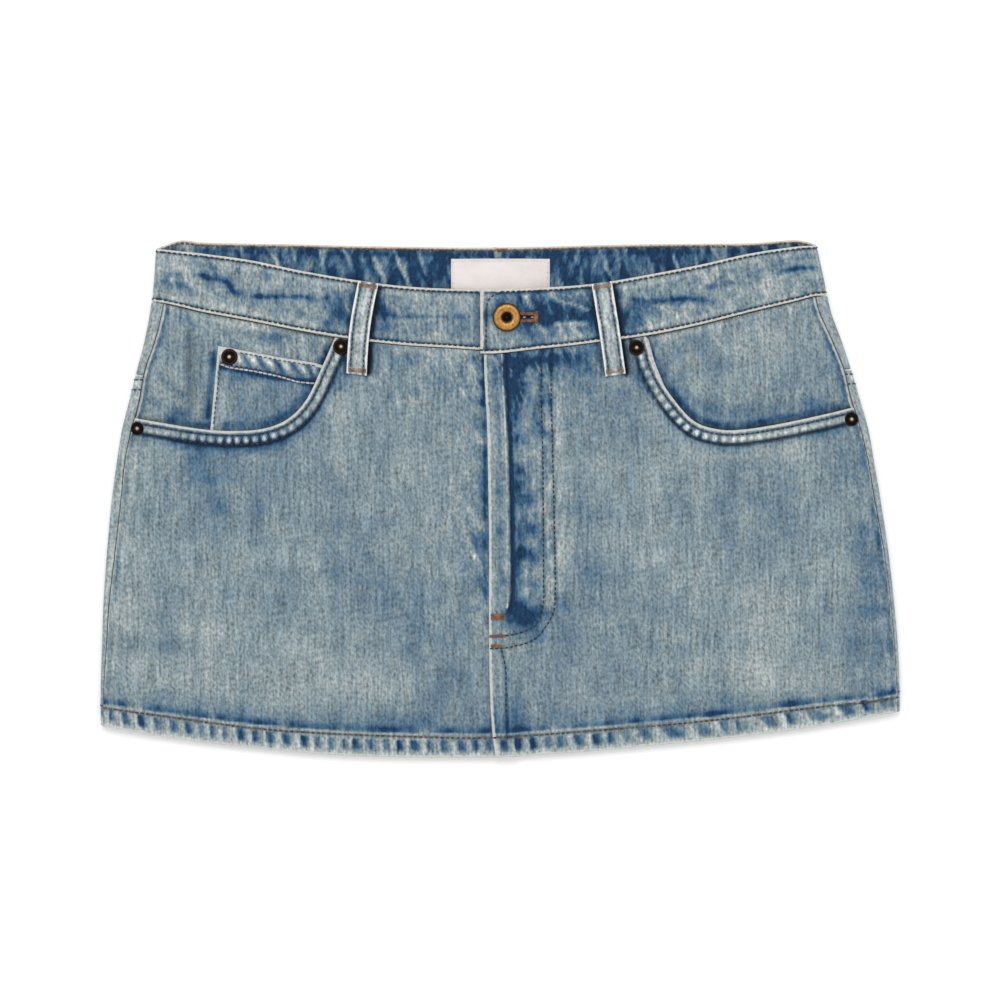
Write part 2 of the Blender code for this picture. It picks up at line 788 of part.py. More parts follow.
def back_piece_place(left, top_front, top_back, bottom_line):
    """Place of a back piece: u is 0..1 round the fold and 1..2 along the back."""
    outward = -1.0 if left else 1.0
    fold = left_fold if left else right_fold
    inset_at = left_inset if left else right_inset
    side_top, side_bottom = top_front(outward * SKIRT_HALF), bottom_line(outward * SKIRT_HALF)
    shoulder = FOLD_RADIUS * QUARTER

    def station(u, fold_y):
        fold_x = fold(fold_y)
        start = -unrolled(inset_at(fold_y), FOLD_RADIUS)
        centre_run = shoulder + abs(CENTRE_BACK_X - fold_x) - FOLD_RADIUS - SEAM_GAP / 2.0
        run = lerp(start, shoulder, u) if u <= 1.0 else lerp(shoulder, centre_run, u - 1.0)
        inset, height = round_fold(run, FOLD_RADIUS)
        return fold_x - outward * inset, height, run

    def place(u, v):
        y = lerp(side_top, side_bottom, v)
        for _ in range(FOLD_PASSES):
            fold_y = y if u <= 1.0 else lerp(side_top, side_bottom, v)
            x, height, run = station(u, fold_y)
            turn = (run / shoulder + 1.0) / 2.0
            y = lerp(ring_line(top_front, top_back, x, turn), bottom_line(x), v)
        if run > shoulder:
            height = back_lift(x, y)
        elif run < -shoulder:
            height = body_height(x, y, not left)
        return x, y, height

    return place


def make_back(collection):
    """Both yokes and both back panels."""
    for left in (True, False):
        side = "left" if left else "right"
        columns = list(WRAP_COLUMNS + BACK_COLUMNS)
        if left:
            columns.reverse()
        place = back_piece_place(left, lambda x: band_bottom(x) - SEAM_GAP,
                                 lambda x: back_bottom(x) - SEAM_GAP,
                                 lambda x: yoke_seam(x) + SEAM_GAP / 2.0)
        yoke = grid_sheet(f"back_yoke_{side}", columns, spaced(0.0, 1.0, YOKE_ROWS), place,
                          "denim", collection)
        give_wall(yoke, DENIM_WALL)

        def panel_seam(x):
            return yoke_seam(x) - SEAM_GAP / 2.0

        place = back_piece_place(left, panel_seam, panel_seam, hem_line)
        scoop = left_scoop if left else right_scoop
        scoop_y = scoop.at(1.0).y
        top_y = panel_seam(-SKIRT_HALF if left else SKIRT_HALF)
        rows = shares([top_y, lerp(top_y, scoop_y, 0.5)] + side_rows(scoop_y, left))
        panel = grid_sheet(f"back_panel_{side}", columns, rows, place, "denim", collection)
        give_wall(panel, DENIM_WALL, HEM_WALL, lambda x: hem_line(x) + HEM_DEPTH)


# --------------------------------------------------------------------------------------
# Waistband, belt loops and label
# --------------------------------------------------------------------------------------

def band_ring():
    """Stations round the waistband: (layer, x or turn), from the overlap to the underlap."""
    left_shoulder = left_fold(BAND_MIDDLE_Y) + BAND_FOLD_RADIUS + BAND_FOLD_MARGIN
    right_shoulder = right_fold(BAND_MIDDLE_Y) - BAND_FOLD_RADIUS - BAND_FOLD_MARGIN
    stations = []
    steps = round((right_shoulder - BAND_OVERLAP_X) / BAND_FRONT_STEP)
    stations += [("front_right", x) for x in spaced(BAND_OVERLAP_X, right_shoulder, steps)]
    stations += [("right_fold", t) for t in spaced(0.0, 1.0, BAND_FOLD_COLUMNS)]
    near_right, near_left = CENTRE_BACK_X + BACK_LIFT_COLUMNS[0], CENTRE_BACK_X - BACK_LIFT_COLUMNS[0]
    steps = round((right_shoulder - near_right) / BAND_BACK_STEP)
    stations += [("back", x) for x in spaced(right_shoulder, near_right, steps)[:-1]]
    stations += [("back", CENTRE_BACK_X + step) for step in BACK_LIFT_COLUMNS]
    stations += [("back", CENTRE_BACK_X - step) for step in reversed(BACK_LIFT_COLUMNS)]
    stations += [("back", x) for x in spaced(near_left, left_shoulder, steps)[1:]]
    stations += [("left_fold", t) for t in spaced(1.0, 0.0, BAND_FOLD_COLUMNS)]
    steps = round((BAND_UNDERLAP_X - left_shoulder) / BAND_FRONT_STEP)
    stations += [("front_left", x) for x in spaced(left_shoulder, BAND_UNDERLAP_X, steps)]
    return stations


def band_side_y(v, left):
    """Height of a waistband row at a side fold."""
    outward_x = -SKIRT_HALF if left else SKIRT_HALF
    return lerp(band_top(outward_x), band_bottom(outward_x), v)


def band_x(x, v):
    """Lean a waistband station with the side folds, which are not upright."""
    left_lean = left_fold(band_side_y(v, True)) - left_fold(BAND_MIDDLE_Y)
    right_lean = right_fold(band_side_y(v, False)) - right_fold(BAND_MIDDLE_Y)
    x += left_lean * smoothstep(-BAND_LEAN_START, -BAND_LEAN_FULL, x)
    return x + right_lean * smoothstep(BAND_LEAN_START, BAND_LEAN_FULL, x)


def band_fold_point(t, v, left):
    """Point on a waistband fold: t runs from the front layer to the back layer."""
    outward = -1.0 if left else 1.0
    fold = left_fold if left else right_fold
    inset = BAND_FOLD_RADIUS * (1.0 - math.sin(math.pi * t))
    x = fold(band_side_y(v, left)) - outward * inset
    back_y = lerp(back_top(x), back_bottom(x), v)
    front_y = lerp(band_top(x), band_bottom(x), v)
    y = lerp(front_y, back_y, smoothstep(0.0, 1.0, t))
    return x, y, BAND_FOLD_RADIUS * (1.0 + math.cos(math.pi * t))


def make_waistband(collection):
    """The waistband in one strip, its right end lapped over its left end at the front."""
    ring = band_ring()

    def place(u, v):
        layer, along = ring[round(u)]
        if layer == "left_fold":
            return band_fold_point(along, v, True)
        if layer == "right_fold":
            return band_fold_point(along, v, False)
        x = band_x(along, v)
        if layer == "back":
            y = lerp(back_top(x), back_bottom(x), v)
            return x, y, back_lift(x, y)
        bottom = band_bottom(x)
        if layer == "front_right":
            bottom -= OVERLAP_DROOP * bell(x - BAND_OVERLAP_X, OVERLAP_DROOP_WIDTH)
        y = lerp(band_top(x), bottom, v)
        return x, y, band_height(x, y, layer == "front_right")

    columns = list(range(len(ring)))
    band = grid_sheet("waistband", columns, BAND_ROWS, place, "denim_pale", collection)
    give_wall(band, BAND_WALL)
    return band


def loop_height(x, y, right, share):
    """Outer height of a front belt loop over the waistband and the panel below it."""
    seam = band_bottom(x)
    over_band = smoothstep(seam - LOOP_STEP_START, seam - LOOP_STEP_END, y)
    under = lerp(body_height(x, y, right), band_height(x, min(y, band_top(x)), right), over_band)
    arch = LOOP_ARCH * math.sin(math.pi * min(max(share, 0.0), 1.0))
    return under + LAYER_GAP + LOOP_WALL + arch


def make_front_loop(ends, collection):
    """One front belt loop, a folded strip bartacked at both ends."""
    top, bottom = Vector(ends.top), Vector(ends.bottom)
    along = (bottom - top).normalized()
    across = Vector((-along.y, along.x))
    right = top.x > 0

    def place(u, v):
        point = top.lerp(bottom, v) + across * (u * LOOP_WIDTH)
        return point.x, point.y, loop_height(point.x, point.y, right, v)

    columns, rows = spaced(-0.5, 0.5, 2), spaced(0.0, 1.0, LOOP_ROWS)
    loop = grid_sheet(ends.name, columns, rows, place, "denim_pale", collection)
    give_wall(loop, LOOP_WALL)
    return loop


def make_back_loop(collection):
    """The belt loop at centre back, flat under the raised waistband and yoke."""
    top_y = back_top(BACK_LOOP_X)

    def place(u, v):
        return BACK_LOOP_X - u * LOOP_WIDTH, top_y - v * LOOP_LENGTH, 0.0

    columns, rows = spaced(-0.5, 0.5, 1), spaced(0.0, 1.0, 4)
    loop = grid_sheet("belt_loop_back", columns, rows, place, "denim", collection)
    give_wall(loop, LOOP_WALL)
    return loop


def make_label(collection):
    """The bare label on the inner face of the back waistband."""
    def place(u, v):
        x = lerp(LABEL_LEFT, LABEL_RIGHT, u)
        y = LABEL_TOP - v * LABEL_DEPTH
        return x, y, back_lift(x, y) + BAND_WALL + LAYER_GAP + LABEL_WALL

    near = BACK_LIFT_COLUMNS[1:]
    stations = [CENTRE_BACK_X - step for step in near]
    stations += [CENTRE_BACK_X + step for step in reversed(near)]
    shares_across = [(x - LABEL_LEFT) / (LABEL_RIGHT - LABEL_LEFT) for x in stations]
    columns = [0.0] + shares_across + [1.0]
    label = grid_sheet("waist_label", columns, spaced(0, 1, 3), place, "label", collection)
    give_wall(label, LABEL_WALL)
    return label


# --------------------------------------------------------------------------------------
# Hardware
# --------------------------------------------------------------------------------------

def turned(name, profile, segments, place, finish, collection):
    """Turned piece: a profile of (radius, height), top to bottom, stood on a surface."""
    mesh = bpy.data.meshes.new(name)
    points = [(radius * MM, 0.0, height * MM) for radius, height in profile]
    edges = [(i, i + 1) for i in range(len(points) - 1)]
    mesh.from_pydata(points, edges, [])
    piece = add_object(name, mesh, finish, collection)
    piece.matrix_world = place
    screw = piece.modifiers.new("turn", "SCREW")
    screw.axis = "Z"
    screw.angle = 2.0 * math.pi
    screw.steps = segments
    screw.render_steps = segments
    screw.use_merge_vertices = True
    screw.merge_threshold = 0.00001
    screw.use_smooth_shade = True
    return piece


def surface_frame(x, y, height):
    """Matrix that stands a piece on a height field, square to its slope."""
    rise_x = (height(x + SLOPE_PROBE, y) - height(x - SLOPE_PROBE, y)) / (2.0 * SLOPE_PROBE)
    rise_y = (height(x, y + SLOPE_PROBE) - height(x, y - SLOPE_PROBE)) / (2.0 * SLOPE_PROBE)
    normal = Vector((-rise_x, -rise_y, 1.0)).normalized()
    turn = normal.to_track_quat("Z", "Y").to_matrix().to_4x4()
    base = Vector((x, y, height(x, y))) * MM
    return Matrix.Translation(base) @ turn


def make_rivet(rivet, collection):
    """Domed rivet with a centre nub, clinched on its layer."""
    place = surface_frame(rivet.x, rivet.y, HEIGHTS[rivet.layer])
    return turned(rivet.name, RIVET, RIVET_SEGMENTS, place, "rivet", collection)


def make_button(collection):
    """Waist button: a ringed cap on a shank that passes the buttonhole to the underlap."""
    overlap = band_height(BUTTON_X, BUTTON_Y, True)
    underlap = band_height(BUTTON_X, BUTTON_Y, False)
    foot = underlap - overlap + LAYER_GAP
    profile = [(point.radius, point.height + BUTTON_CLEARANCE) for point in BUTTON_CAP]
    profile += [
        (BUTTON_SHANK_RADIUS, BUTTON_CLEARANCE),
        (BUTTON_SHANK_RADIUS, foot),
        (0.0, foot),
    ]
    place = surface_frame(BUTTON_X, BUTTON_Y, lambda x, y: band_height(x, y, True))
    return turned("waist_button", profile, BUTTON_SEGMENTS, place, "brass", collection)


def cut_buttonhole(band, cutters):
    """Keyhole buttonhole through the waistband's overlap only."""
    low = underlap_band_height(BUTTON_X, BUTTON_Y) + LAYER_GAP / 2.0
    middle_z = low + BAND_LAP_RISE
    bm = bmesh.new()
    bmesh.ops.create_cone(bm, cap_ends=True, segments=16, radius1=EYELET_RADIUS * MM,
                          radius2=EYELET_RADIUS * MM, depth=2.0 * BAND_LAP_RISE * MM)
    eyelet = finish_cutter("cut_eyelet", bm, cutters)
    eyelet.location = Vector((BUTTON_X, BUTTON_Y, middle_z)) * MM
    bm = bmesh.new()
    bmesh.ops.create_cube(bm, size=MM)
    slot_length = SLOT_END_X - BUTTON_X
    size = Vector((slot_length, SLOT_WIDTH, 2.0 * BAND_LAP_RISE))
    bmesh.ops.scale(bm, vec=size, verts=bm.verts)
    slot = finish_cutter("cut_slot", bm, cutters)
    slot.location = Vector((BUTTON_X + slot_length / 2.0, BUTTON_Y, middle_z)) * MM
    for cutter in (eyelet, slot):
        hole = band.modifiers.new(cutter.name, "BOOLEAN")
        hole.operation = "DIFFERENCE"
        hole.solver = "EXACT"
        hole.object = cutter


def finish_cutter(name, bm, cutters):
    """Store a cutter mesh where it is not part of the model."""
    mesh = bpy.data.meshes.new(name)
    bm.to_mesh(mesh)
    bm.free()
    cutter = bpy.data.objects.new(name, mesh)
    cutter.display_type = "WIRE"
    cutter.hide_render = True
    cutters.objects.link(cutter)
    return cutter


# --------------------------------------------------------------------------------------
# Assembly
# --------------------------------------------------------------------------------------

def clear_scene():
    """Remove whatever the scene starts with."""
    for thing in list(bpy.data.objects):
        bpy.data.objects.remove(thing, do_unlink=True)


def new_collection(name):
    """Collection linked to the scene."""
    made = bpy.data.collections.new(name)
    bpy.context.scene.collection.children.link(made)
    return made


def build_skirt():
    """Build every piece of the skirt."""
    clear_scene()
    skirt = new_collection(SKIRT_NAME)
    cutters = new_collection("cutters")
    for left in (True, False):
        make_front_panel(left, skirt)
        make_facing(left, skirt)
    make_coin_pocket(skirt)
    make_back(skirt)
    band = make_waistband(skirt)
    cut_buttonhole(band, cutters)
    for ends in FRONT_LOOPS:
        make_front_loop(ends, skirt)
    make_back_loop(skirt)
    make_label(skirt)
    for rivet in RIVETS:
        make_rivet(rivet, skirt)
    make_button(skirt)


build_skirt()
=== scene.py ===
"""Low-rise denim mini skirt, laid flat on its back: the finished cloth, thread and metal.

Axes: +X to the viewer's right across the front, +Y from the hem to the waist, +Z up off the
surface that the skirt lies on.  Sizes are in millimetres and turned to metres by MM when a
mesh is made.  "Left" and "right" are as seen from the front.
"""

import logging
import math
from dataclasses import dataclass, field, replace
from enum import Enum
from typing import Callable, Optional, Sequence

import bpy
import numpy as np
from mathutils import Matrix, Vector


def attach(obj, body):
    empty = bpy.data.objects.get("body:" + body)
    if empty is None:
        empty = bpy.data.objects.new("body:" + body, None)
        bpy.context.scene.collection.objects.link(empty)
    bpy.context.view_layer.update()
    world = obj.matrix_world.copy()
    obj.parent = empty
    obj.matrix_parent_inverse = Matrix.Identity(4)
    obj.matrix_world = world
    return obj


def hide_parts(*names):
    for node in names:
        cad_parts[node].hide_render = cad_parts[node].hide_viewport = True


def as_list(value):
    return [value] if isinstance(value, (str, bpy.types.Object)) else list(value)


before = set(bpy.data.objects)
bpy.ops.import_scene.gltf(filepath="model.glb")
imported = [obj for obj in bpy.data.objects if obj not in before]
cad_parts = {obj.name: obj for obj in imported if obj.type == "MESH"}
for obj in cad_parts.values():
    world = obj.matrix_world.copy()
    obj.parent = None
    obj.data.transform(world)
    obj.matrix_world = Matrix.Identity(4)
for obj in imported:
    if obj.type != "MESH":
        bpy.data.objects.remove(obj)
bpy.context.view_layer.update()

MM = 0.001
TAU = 2.0 * math.pi
BODY = "root"
LOG = logging.getLogger("denim_skirt")
Array = np.ndarray


class Side(Enum):
    """Which half of the skirt a piece belongs to, as seen from the front."""

    LEFT = "left"
    RIGHT = "right"

    @property
    def outward(self) -> float:
        """Sign of X towards the side fold."""
        return -1.0 if self is Side.LEFT else 1.0


# --------------------------------------------------------------------------------------
# Blends, noise, curves and paths
# --------------------------------------------------------------------------------------

def ease(start: float, end: float, value: Array) -> Array:
    """Rise smoothly from 0 at start to 1 at end."""
    t = np.clip((np.asarray(value, float) - start) / (end - start), 0.0, 1.0)
    return t * t * (3.0 - 2.0 * t)


def fall(start: float, end: float, value: Array) -> Array:
    """Fall smoothly from 1 at start to 0 at end."""
    return 1.0 - ease(start, end, value)


def lerp(first: Array, second: Array, t: Array) -> Array:
    """Value between first and second."""
    return first + (second - first) * t


def joined(*parts: Array) -> Array:
    """Coordinates side by side along the last axis."""
    return np.stack(parts, axis=-1)


def bell(value: Array, width: float) -> Array:
    """1 at zero, fading smoothly to 0 over about twice the width."""
    return np.exp(-(np.asarray(value, float) / width) ** 2)


class Noise:
    """Smooth repeatable noise between about -1 and 1."""

    CELLS = 128

    def __init__(self, seed: int) -> None:
        """Fill the lattice from a fixed seed."""
        shape = (self.CELLS, self.CELLS)
        self.lattice = np.random.RandomState(seed).uniform(-1.0, 1.0, shape)

    def at(self, x: Array, y: Array) -> Array:
        """One layer of noise at places measured in lattice cells."""
        x, y = np.broadcast_arrays(np.asarray(x, float), np.asarray(y, float))
        col, row = np.floor(x).astype(int), np.floor(y).astype(int)
        fx, fy = ease(0.0, 1.0, x - col), ease(0.0, 1.0, y - row)
        col, row = col % self.CELLS, row % self.CELLS
        col_next, row_next = (col + 1) % self.CELLS, (row + 1) % self.CELLS
        top = lerp(self.lattice[row, col], self.lattice[row, col_next], fx)
        low = lerp(self.lattice[row_next, col], self.lattice[row_next, col_next], fx)
        return lerp(top, low, fy)

    def layered(self, x: Array, y: Array, layers: int = 3) -> Array:
        """Sum of finer and fainter layers."""
        total = 0.0
        for k in range(layers):
            total = total + self.at(x * 2.0 ** k + 17.3 * k, y * 2.0 ** k + 5.1 * k) * 0.55 ** k
        return total


def cloud(seed: int, x: Array, y: Array, layers: int = 3) -> Array:
    """Layered noise from a fixed seed."""
    return Noise(seed).layered(x, y, layers)


class Curve:
    """A smooth curve through stations (cubic Hermite)."""

    def __init__(self, pairs: Sequence[tuple[float, float]]) -> None:
        """Sort the stations and find the slope at each."""
        table = np.array(sorted(pairs), float)
        self.stations, self.values = table[:, 0], table[:, 1]
        last = len(table) - 1
        before = np.maximum(np.arange(last + 1) - 1, 0)
        after = np.minimum(np.arange(last + 1) + 1, last)
        rise = self.values[after] - self.values[before]
        self.slopes = rise / (self.stations[after] - self.stations[before])

    def __call__(self, station: Array) -> Array:
        """Value at a station."""
        station = np.clip(np.asarray(station, float), self.stations[0], self.stations[-1])
        i = np.searchsorted(self.stations, station, side="left") - 1
        i = np.clip(i, 0, len(self.stations) - 2)
        step = self.stations[i + 1] - self.stations[i]
        t = (station - self.stations[i]) / step
        t2, t3 = t * t, t * t * t
        start = (2 * t3 - 3 * t2 + 1) * self.values[i] + (t3 - 2 * t2 + t) * step * self.slopes[i]
        return start + (3 * t2 - 2 * t3) * self.values[i + 1] + (t3 - t2) * step * self.slopes[i + 1]


class Path:
    """A plan curve through points, read by its own length."""

    SAMPLES_PER_SPAN = 12

    def __init__(self, points: Sequence[tuple[float, float]], smooth: bool = True) -> None:
        """Sample the curve and note how far along each sample lies."""
        points = np.array(points, float)
        last = len(points) - 1
        samples = []
        for i in range(last):
            before, after = points[max(i - 1, 0)], points[min(i + 2, last)]
            for k in range(self.SAMPLES_PER_SPAN):
                t = k / self.SAMPLES_PER_SPAN
                if smooth:
                    samples.append(self.between(before, points[i], points[i + 1], after, t))
                else:
                    samples.append(lerp(points[i], points[i + 1], t))
        samples.append(points[-1])
        self.points = np.array(samples)
        steps = np.linalg.norm(np.diff(self.points, axis=0), axis=1)
        self.run = np.concatenate([[0.0], np.cumsum(steps)])

    @staticmethod
    def between(before: Array, start: Array, end: Array, after: Array, t: float) -> Array:
        """Point on the smooth span from start to end."""
        leave, arrive = (end - before) * 0.5, (after - start) * 0.5
        t2, t3 = t * t, t * t * t
        point = (2 * t3 - 3 * t2 + 1) * start + (t3 - 2 * t2 + t) * leave
        return point + (3 * t2 - 2 * t3) * end + (t3 - t2) * arrive

    @property
    def length(self) -> float:
        """Length of the whole curve."""
        return float(self.run[-1])

    def at(self, fraction: Array) -> Array:
        """Points at fractions of the length, as rows of (x, y)."""
        target = np.clip(np.asarray(fraction, float), 0.0, 1.0) * self.length
        x = np.interp(target, self.run, self.points[:, 0])
        y = np.interp(target, self.run, self.points[:, 1])
        return joined(x, y)

    def side_step(self, fraction: Array, distance: Array) -> Array:
        """Points beside the curve: positive distance is to the left of its run."""
        fraction = np.asarray(fraction, float)
        ahead = self.at(np.minimum(fraction + 0.01, 1.0)) - self.at(np.maximum(fraction - 0.01, 0.0))
        ahead = ahead / np.linalg.norm(ahead, axis=-1, keepdims=True)
        left = joined(-ahead[..., 1], ahead[..., 0])
        return self.at(fraction) + left * np.asarray(distance)[..., None]

    def nearest(self, x: Array, y: Array) -> tuple[Array, Array, Array]:
        """Distance to the curve, how far along it, and the signed distance left of it.

        Args:
            x: Places across.
            y: Places up.

        Returns:
            Three arrays shaped as x: distance, run and signed distance.
        """
        best = np.full(np.shape(x), 1e9)
        run, signed = np.zeros(np.shape(x)), np.zeros(np.shape(x))
        for i in range(len(self.points) - 1):
            start, end = self.points[i], self.points[i + 1]
            span = end - start
            size = max(float(np.hypot(*span)), 1e-6)
            t = np.clip(((x - start[0]) * span[0] + (y - start[1]) * span[1]) / size ** 2, 0.0, 1.0)
            dx, dy = x - start[0] - t * span[0], y - start[1] - t * span[1]
            distance = np.hypot(dx, dy)
            closer = distance < best
            best = np.where(closer, distance, best)
            run = np.where(closer, self.run[i] + t * size, run)
            side = np.sign(span[0] * dy - span[1] * dx)
            signed = np.where(closer, distance * side, signed)
        return best, run, signed


# --------------------------------------------------------------------------------------
# Marks: soft spots, trails and bands that lighten, darken, raise or sink the cloth
# --------------------------------------------------------------------------------------

@dataclass(frozen=True)
class Spot:
    """Soft oval mark: middle, half sizes and amount."""

    x: float
    y: float
    half_width: float
    half_height: float
    amount: float

    def field(self, x: Array, y: Array) -> Array:
        """The mark's amount at each place."""
        reach = ((x - self.x) / self.half_width) ** 2 + ((y - self.y) / self.half_height) ** 2
        return self.amount * np.exp(-reach)


@dataclass(frozen=True)
class Trail:
    """Soft mark along a curve, uneven along its length and faded at its ends."""

    points: tuple
    width: float
    amount: float
    uneven: float = 0.35
    seed: int = 1
    fade: float = 8.0

    def field(self, x: Array, y: Array) -> Array:
        """The mark's amount at each place."""
        path = Path(self.points)
        distance, run, _ = path.nearest(x, y)
        ends = ease(-0.1, self.fade, run) * ease(-0.1, self.fade, path.length - run)
        noise = Noise(self.seed)
        strength = 1.0 + self.uneven * noise.layered(run / 9.0, 0.5)
        width = self.width * (1.0 + 0.4 * self.uneven * noise.at(run / 14.0, 7.5))
        return self.amount * strength * ends * np.exp(-(distance / width) ** 2)


def total(marks: Sequence, x: Array, y: Array) -> Array:
    """Sum of several marks."""
    value = np.zeros(np.shape(x))
    for mark in marks:
        value += mark.field(x, y)
    return value


# --------------------------------------------------------------------------------------
# The form that the cloth lies on
# --------------------------------------------------------------------------------------

@dataclass
class Form:
    """The flattened tube: its outline, seams, layers and heights."""

    denim_wall: float = 1.1
    hem_wall: float = 1.8
    band_wall: float = 2.0
    loop_wall: float = 1.5
    label_wall: float = 1.0
    layer_gap: float = 0.3
    seam_gap: float = 0.8
    shown_gap: float = 0.45
    waist_gap: float = 0.5
    half_width: float = 240.0
    fold_radius: float = 3.0
    fold_spread: float = 45.0
    band_fold_radius: float = 3.3
    panel_height: float = 4.4
    pocket_rise: float = 1.2
    hem_rise: float = 0.6
    hem_depth: float = 12.6
    hem_fade: float = 45.0
    band_rest: float = 6.2
    band_proud: float = 0.7
    band_blend: float = 60.0
    fly_underlap: float = 11.0
    fly_lap_rise: float = 1.5
    hem_lap_rise: float = 0.8
    fly_lap_fall: float = 4.5
    band_lap_rise: float = 2.4
    band_lap_full: float = 24.0
    band_lap_end: float = 50.0
    overlap_x: float = -12.0
    underlap_x: float = 19.0
    overlap_droop: float = 2.2
    overlap_droop_width: float = 22.0
    centre_back_x: float = 0.9
    loop_length: float = 56.0
    loop_half: float = 6.15
    # Front belt loops: side, top middle, foot middle, and how far the strip bows outwards.
    loops: tuple = (
        (Side.LEFT, (-78.9, 129.8), (-86, 74.8), 1.5), (Side.RIGHT, (60.8, 129.5), (69.2, 74.4), 0.2),
    )
    # Height across the skirt: y, left fold, right fold, left and right seam insets.
    sides: tuple = (
        (154.9, -206.2, 189.6, 7.2, 7.2), (149.5, -206.6, 190.6, 7.2, 7.2),
        (131.5, -207.8, 194.9, 7.2, 7.2), (113.5, -209.9, 198.3, 7.2, 7), (95.5, -213.4, 204.8, 6.4, 5.6),
        (77.5, -218, 210.7, 4.8, 4.2), (59.5, -222.5, 216.1, 5.8, 5.2), (41.5, -227, 221.1, 5.8, 4.6),
        (23.5, -229.9, 224.3, 4.8, 3.6), (-0.5, -233.1, 228.4, 5.6, 3.6), (-30.5, -235.9, 232.9, 5, 2.6),
        (-60.5, -238, 236.3, 3.6, 2), (-90.5, -239.1, 238.9, 2.7, 2), (-120.5, -239.8, 239.9, 1.6, 1.4),
        (-140, -239.4, 239.6, 1.4, 1.3),
    )
    # Down the skirt: x, band top, band bottom, back top, back bottom, yoke seam, hem.
    across: tuple = (
        (-240, 149.9, 118.6, 151, 118.6, 75, -135.8), (-206.5, 149.9, 118.3, 151.2, 118.4, 74.5, -141.8),
        (-192, 148.6, 115.6, 155.4, 118, 73.6, -144), (-180, 147.4, 112.6, 154.3, 117.8, 73, -145.6),
        (-150, 143.3, 107, 153.5, 117, 71.2, -148.9), (-120, 137.1, 101.1, 153, 116.2, 68.8, -152),
        (-90, 131.9, 96.1, 152.2, 115.5, 65.5, -153.9), (-60, 127.9, 92.6, 151.7, 115, 61.5, -154.8),
        (-30, 126.1, 90.7, 151.2, 114.6, 57, -155), (0, 125.9, 89, 150.9, 114.4, 52, -154.7),
        (30, 126.9, 90.8, 151.8, 114.8, 57, -153), (60, 129.7, 94.4, 152.6, 115.4, 61.5, -150.8),
        (90, 134.8, 98.5, 153.2, 116, 65.5, -148), (120, 140.6, 104.7, 153.5, 117, 69, -145.2),
        (150, 147.3, 112.3, 153.7, 118.6, 72.5, -141.9), (178, 151.4, 119, 155.6, 121, 75.8, -138.3),
        (190, 152, 121.9, 153.6, 122.4, 77, -136.5), (240, 152.2, 124.4, 152.6, 124, 79.6, -127.3),
    )
    fly: tuple = (
        (92, -9.8), (72.7, -9.4), (45.1, -7.9), (17.5, -7.3), (-24.5, -6.7), (-75.5, -6.7), (-114.5, -6.2),
        (-140.9, -4.6), (-156, -2.5),
    )
    left_mouth: tuple = (
        (-98.8, 97.6), (-106.9, 79), (-115.9, 60.1), (-126.7, 48.5), (-140.8, 42.5), (-157.9, 40.9),
        (-178.3, 41.9), (-203, 45.8), (-221, 49),
    )
    right_mouth: tuple = (
        (87.3, 98), (93.5, 77.2), (103.9, 60.1), (116.6, 46.6), (131.2, 41.8), (146, 41.8), (168, 45.2),
        (195.2, 51), (213.6, 55.6),
    )

    def __post_init__(self) -> None:
        """Make the outline curves from the tables."""
        def column(table: tuple, k: int) -> Curve:
            """One column of a table as a curve."""
            return Curve([(row[0], row[k]) for row in table])

        self.folds = {Side.LEFT: column(self.sides, 1), Side.RIGHT: column(self.sides, 2)}
        self.insets = {Side.LEFT: column(self.sides, 3), Side.RIGHT: column(self.sides, 4)}
        self.band_top, self.band_bottom = column(self.across, 1), column(self.across, 2)
        self.back_top, self.back_bottom = column(self.across, 3), column(self.across, 4)
        self.yoke_seam, self.hem = column(self.across, 5), column(self.across, 6)
        self.fly_edge = column(self.fly, 1)
        self.mouths = {Side.LEFT: Path(self.left_mouth), Side.RIGHT: Path(self.right_mouth)}

    def loop_shadow(self, x: Array, y: Array) -> Array:
        """Painted shadow of the front belt loops at a place, from 0 to 1, stronger on each loop's right side.
        """
        close = 0.0 * x
        for side, top, foot, bow in self.loops:
            share = np.clip((top[1] - y) / (top[1] - foot[1]), 0.0, 1.0)
            middle = lerp(top[0], foot[0], share) + side.outward * bow * np.sin(math.pi * share)
            away = np.abs(x - middle) - self.loop_half
            # Painted shadow: stronger on the right side of each loop than on its left.
            strength = 0.80 + 0.35 * np.sign(x - middle)
            close += strength * (0.95 * bell(away - 0.8, 1.7) + 0.28 * bell(away, 4.5))
        return close * ease(72.0, 76.0, y)

    def side_seam(self, y: Array, side: Side) -> Array:
        """Where the side seam lies across the front."""
        return self.folds[side](y) - side.outward * self.insets[side](y)

    def panel_top(self, x: Array, side: Side) -> Array:
        """Waist seam of a front panel."""
        seam = self.band_bottom(x) - self.waist_gap
        if side is Side.LEFT:
            return seam
        return seam - self.overlap_droop * bell(x - self.overlap_x, self.overlap_droop_width)

    def back_lift(self, x: Array, y: Array) -> Array:
        """How far the back rises to pass over its own belt loop."""
        aside = fall(8.5, 28.0, np.abs(x - self.centre_back_x))
        foot = self.back_top(self.centre_back_x) - self.loop_length
        return (self.loop_wall + self.layer_gap) * aside * ease(foot - 28.0, foot - 5.0, y)

    def over_fold(self, x: Array, y: Array, radius: float, inner: Array) -> Array:
        """Height near a side fold, running into the inner height."""
        inset = np.minimum(x - self.folds[Side.LEFT](y), self.folds[Side.RIGHT](y) - x)
        bend = radius + np.sqrt(np.maximum(radius ** 2 - (radius - inset) ** 2, 0.0))
        flat = lerp(2.0 * radius, inner, ease(radius, radius + self.fold_spread, inset))
        return np.where(inset < radius, bend, flat)

    def under_band(self, x: Array, y: Array) -> Array:
        """Height of the front waistband without the overlap."""
        return self.band_rest + 1.5 * ease(94.0, 117.0, y) * bell(x, 42.0)

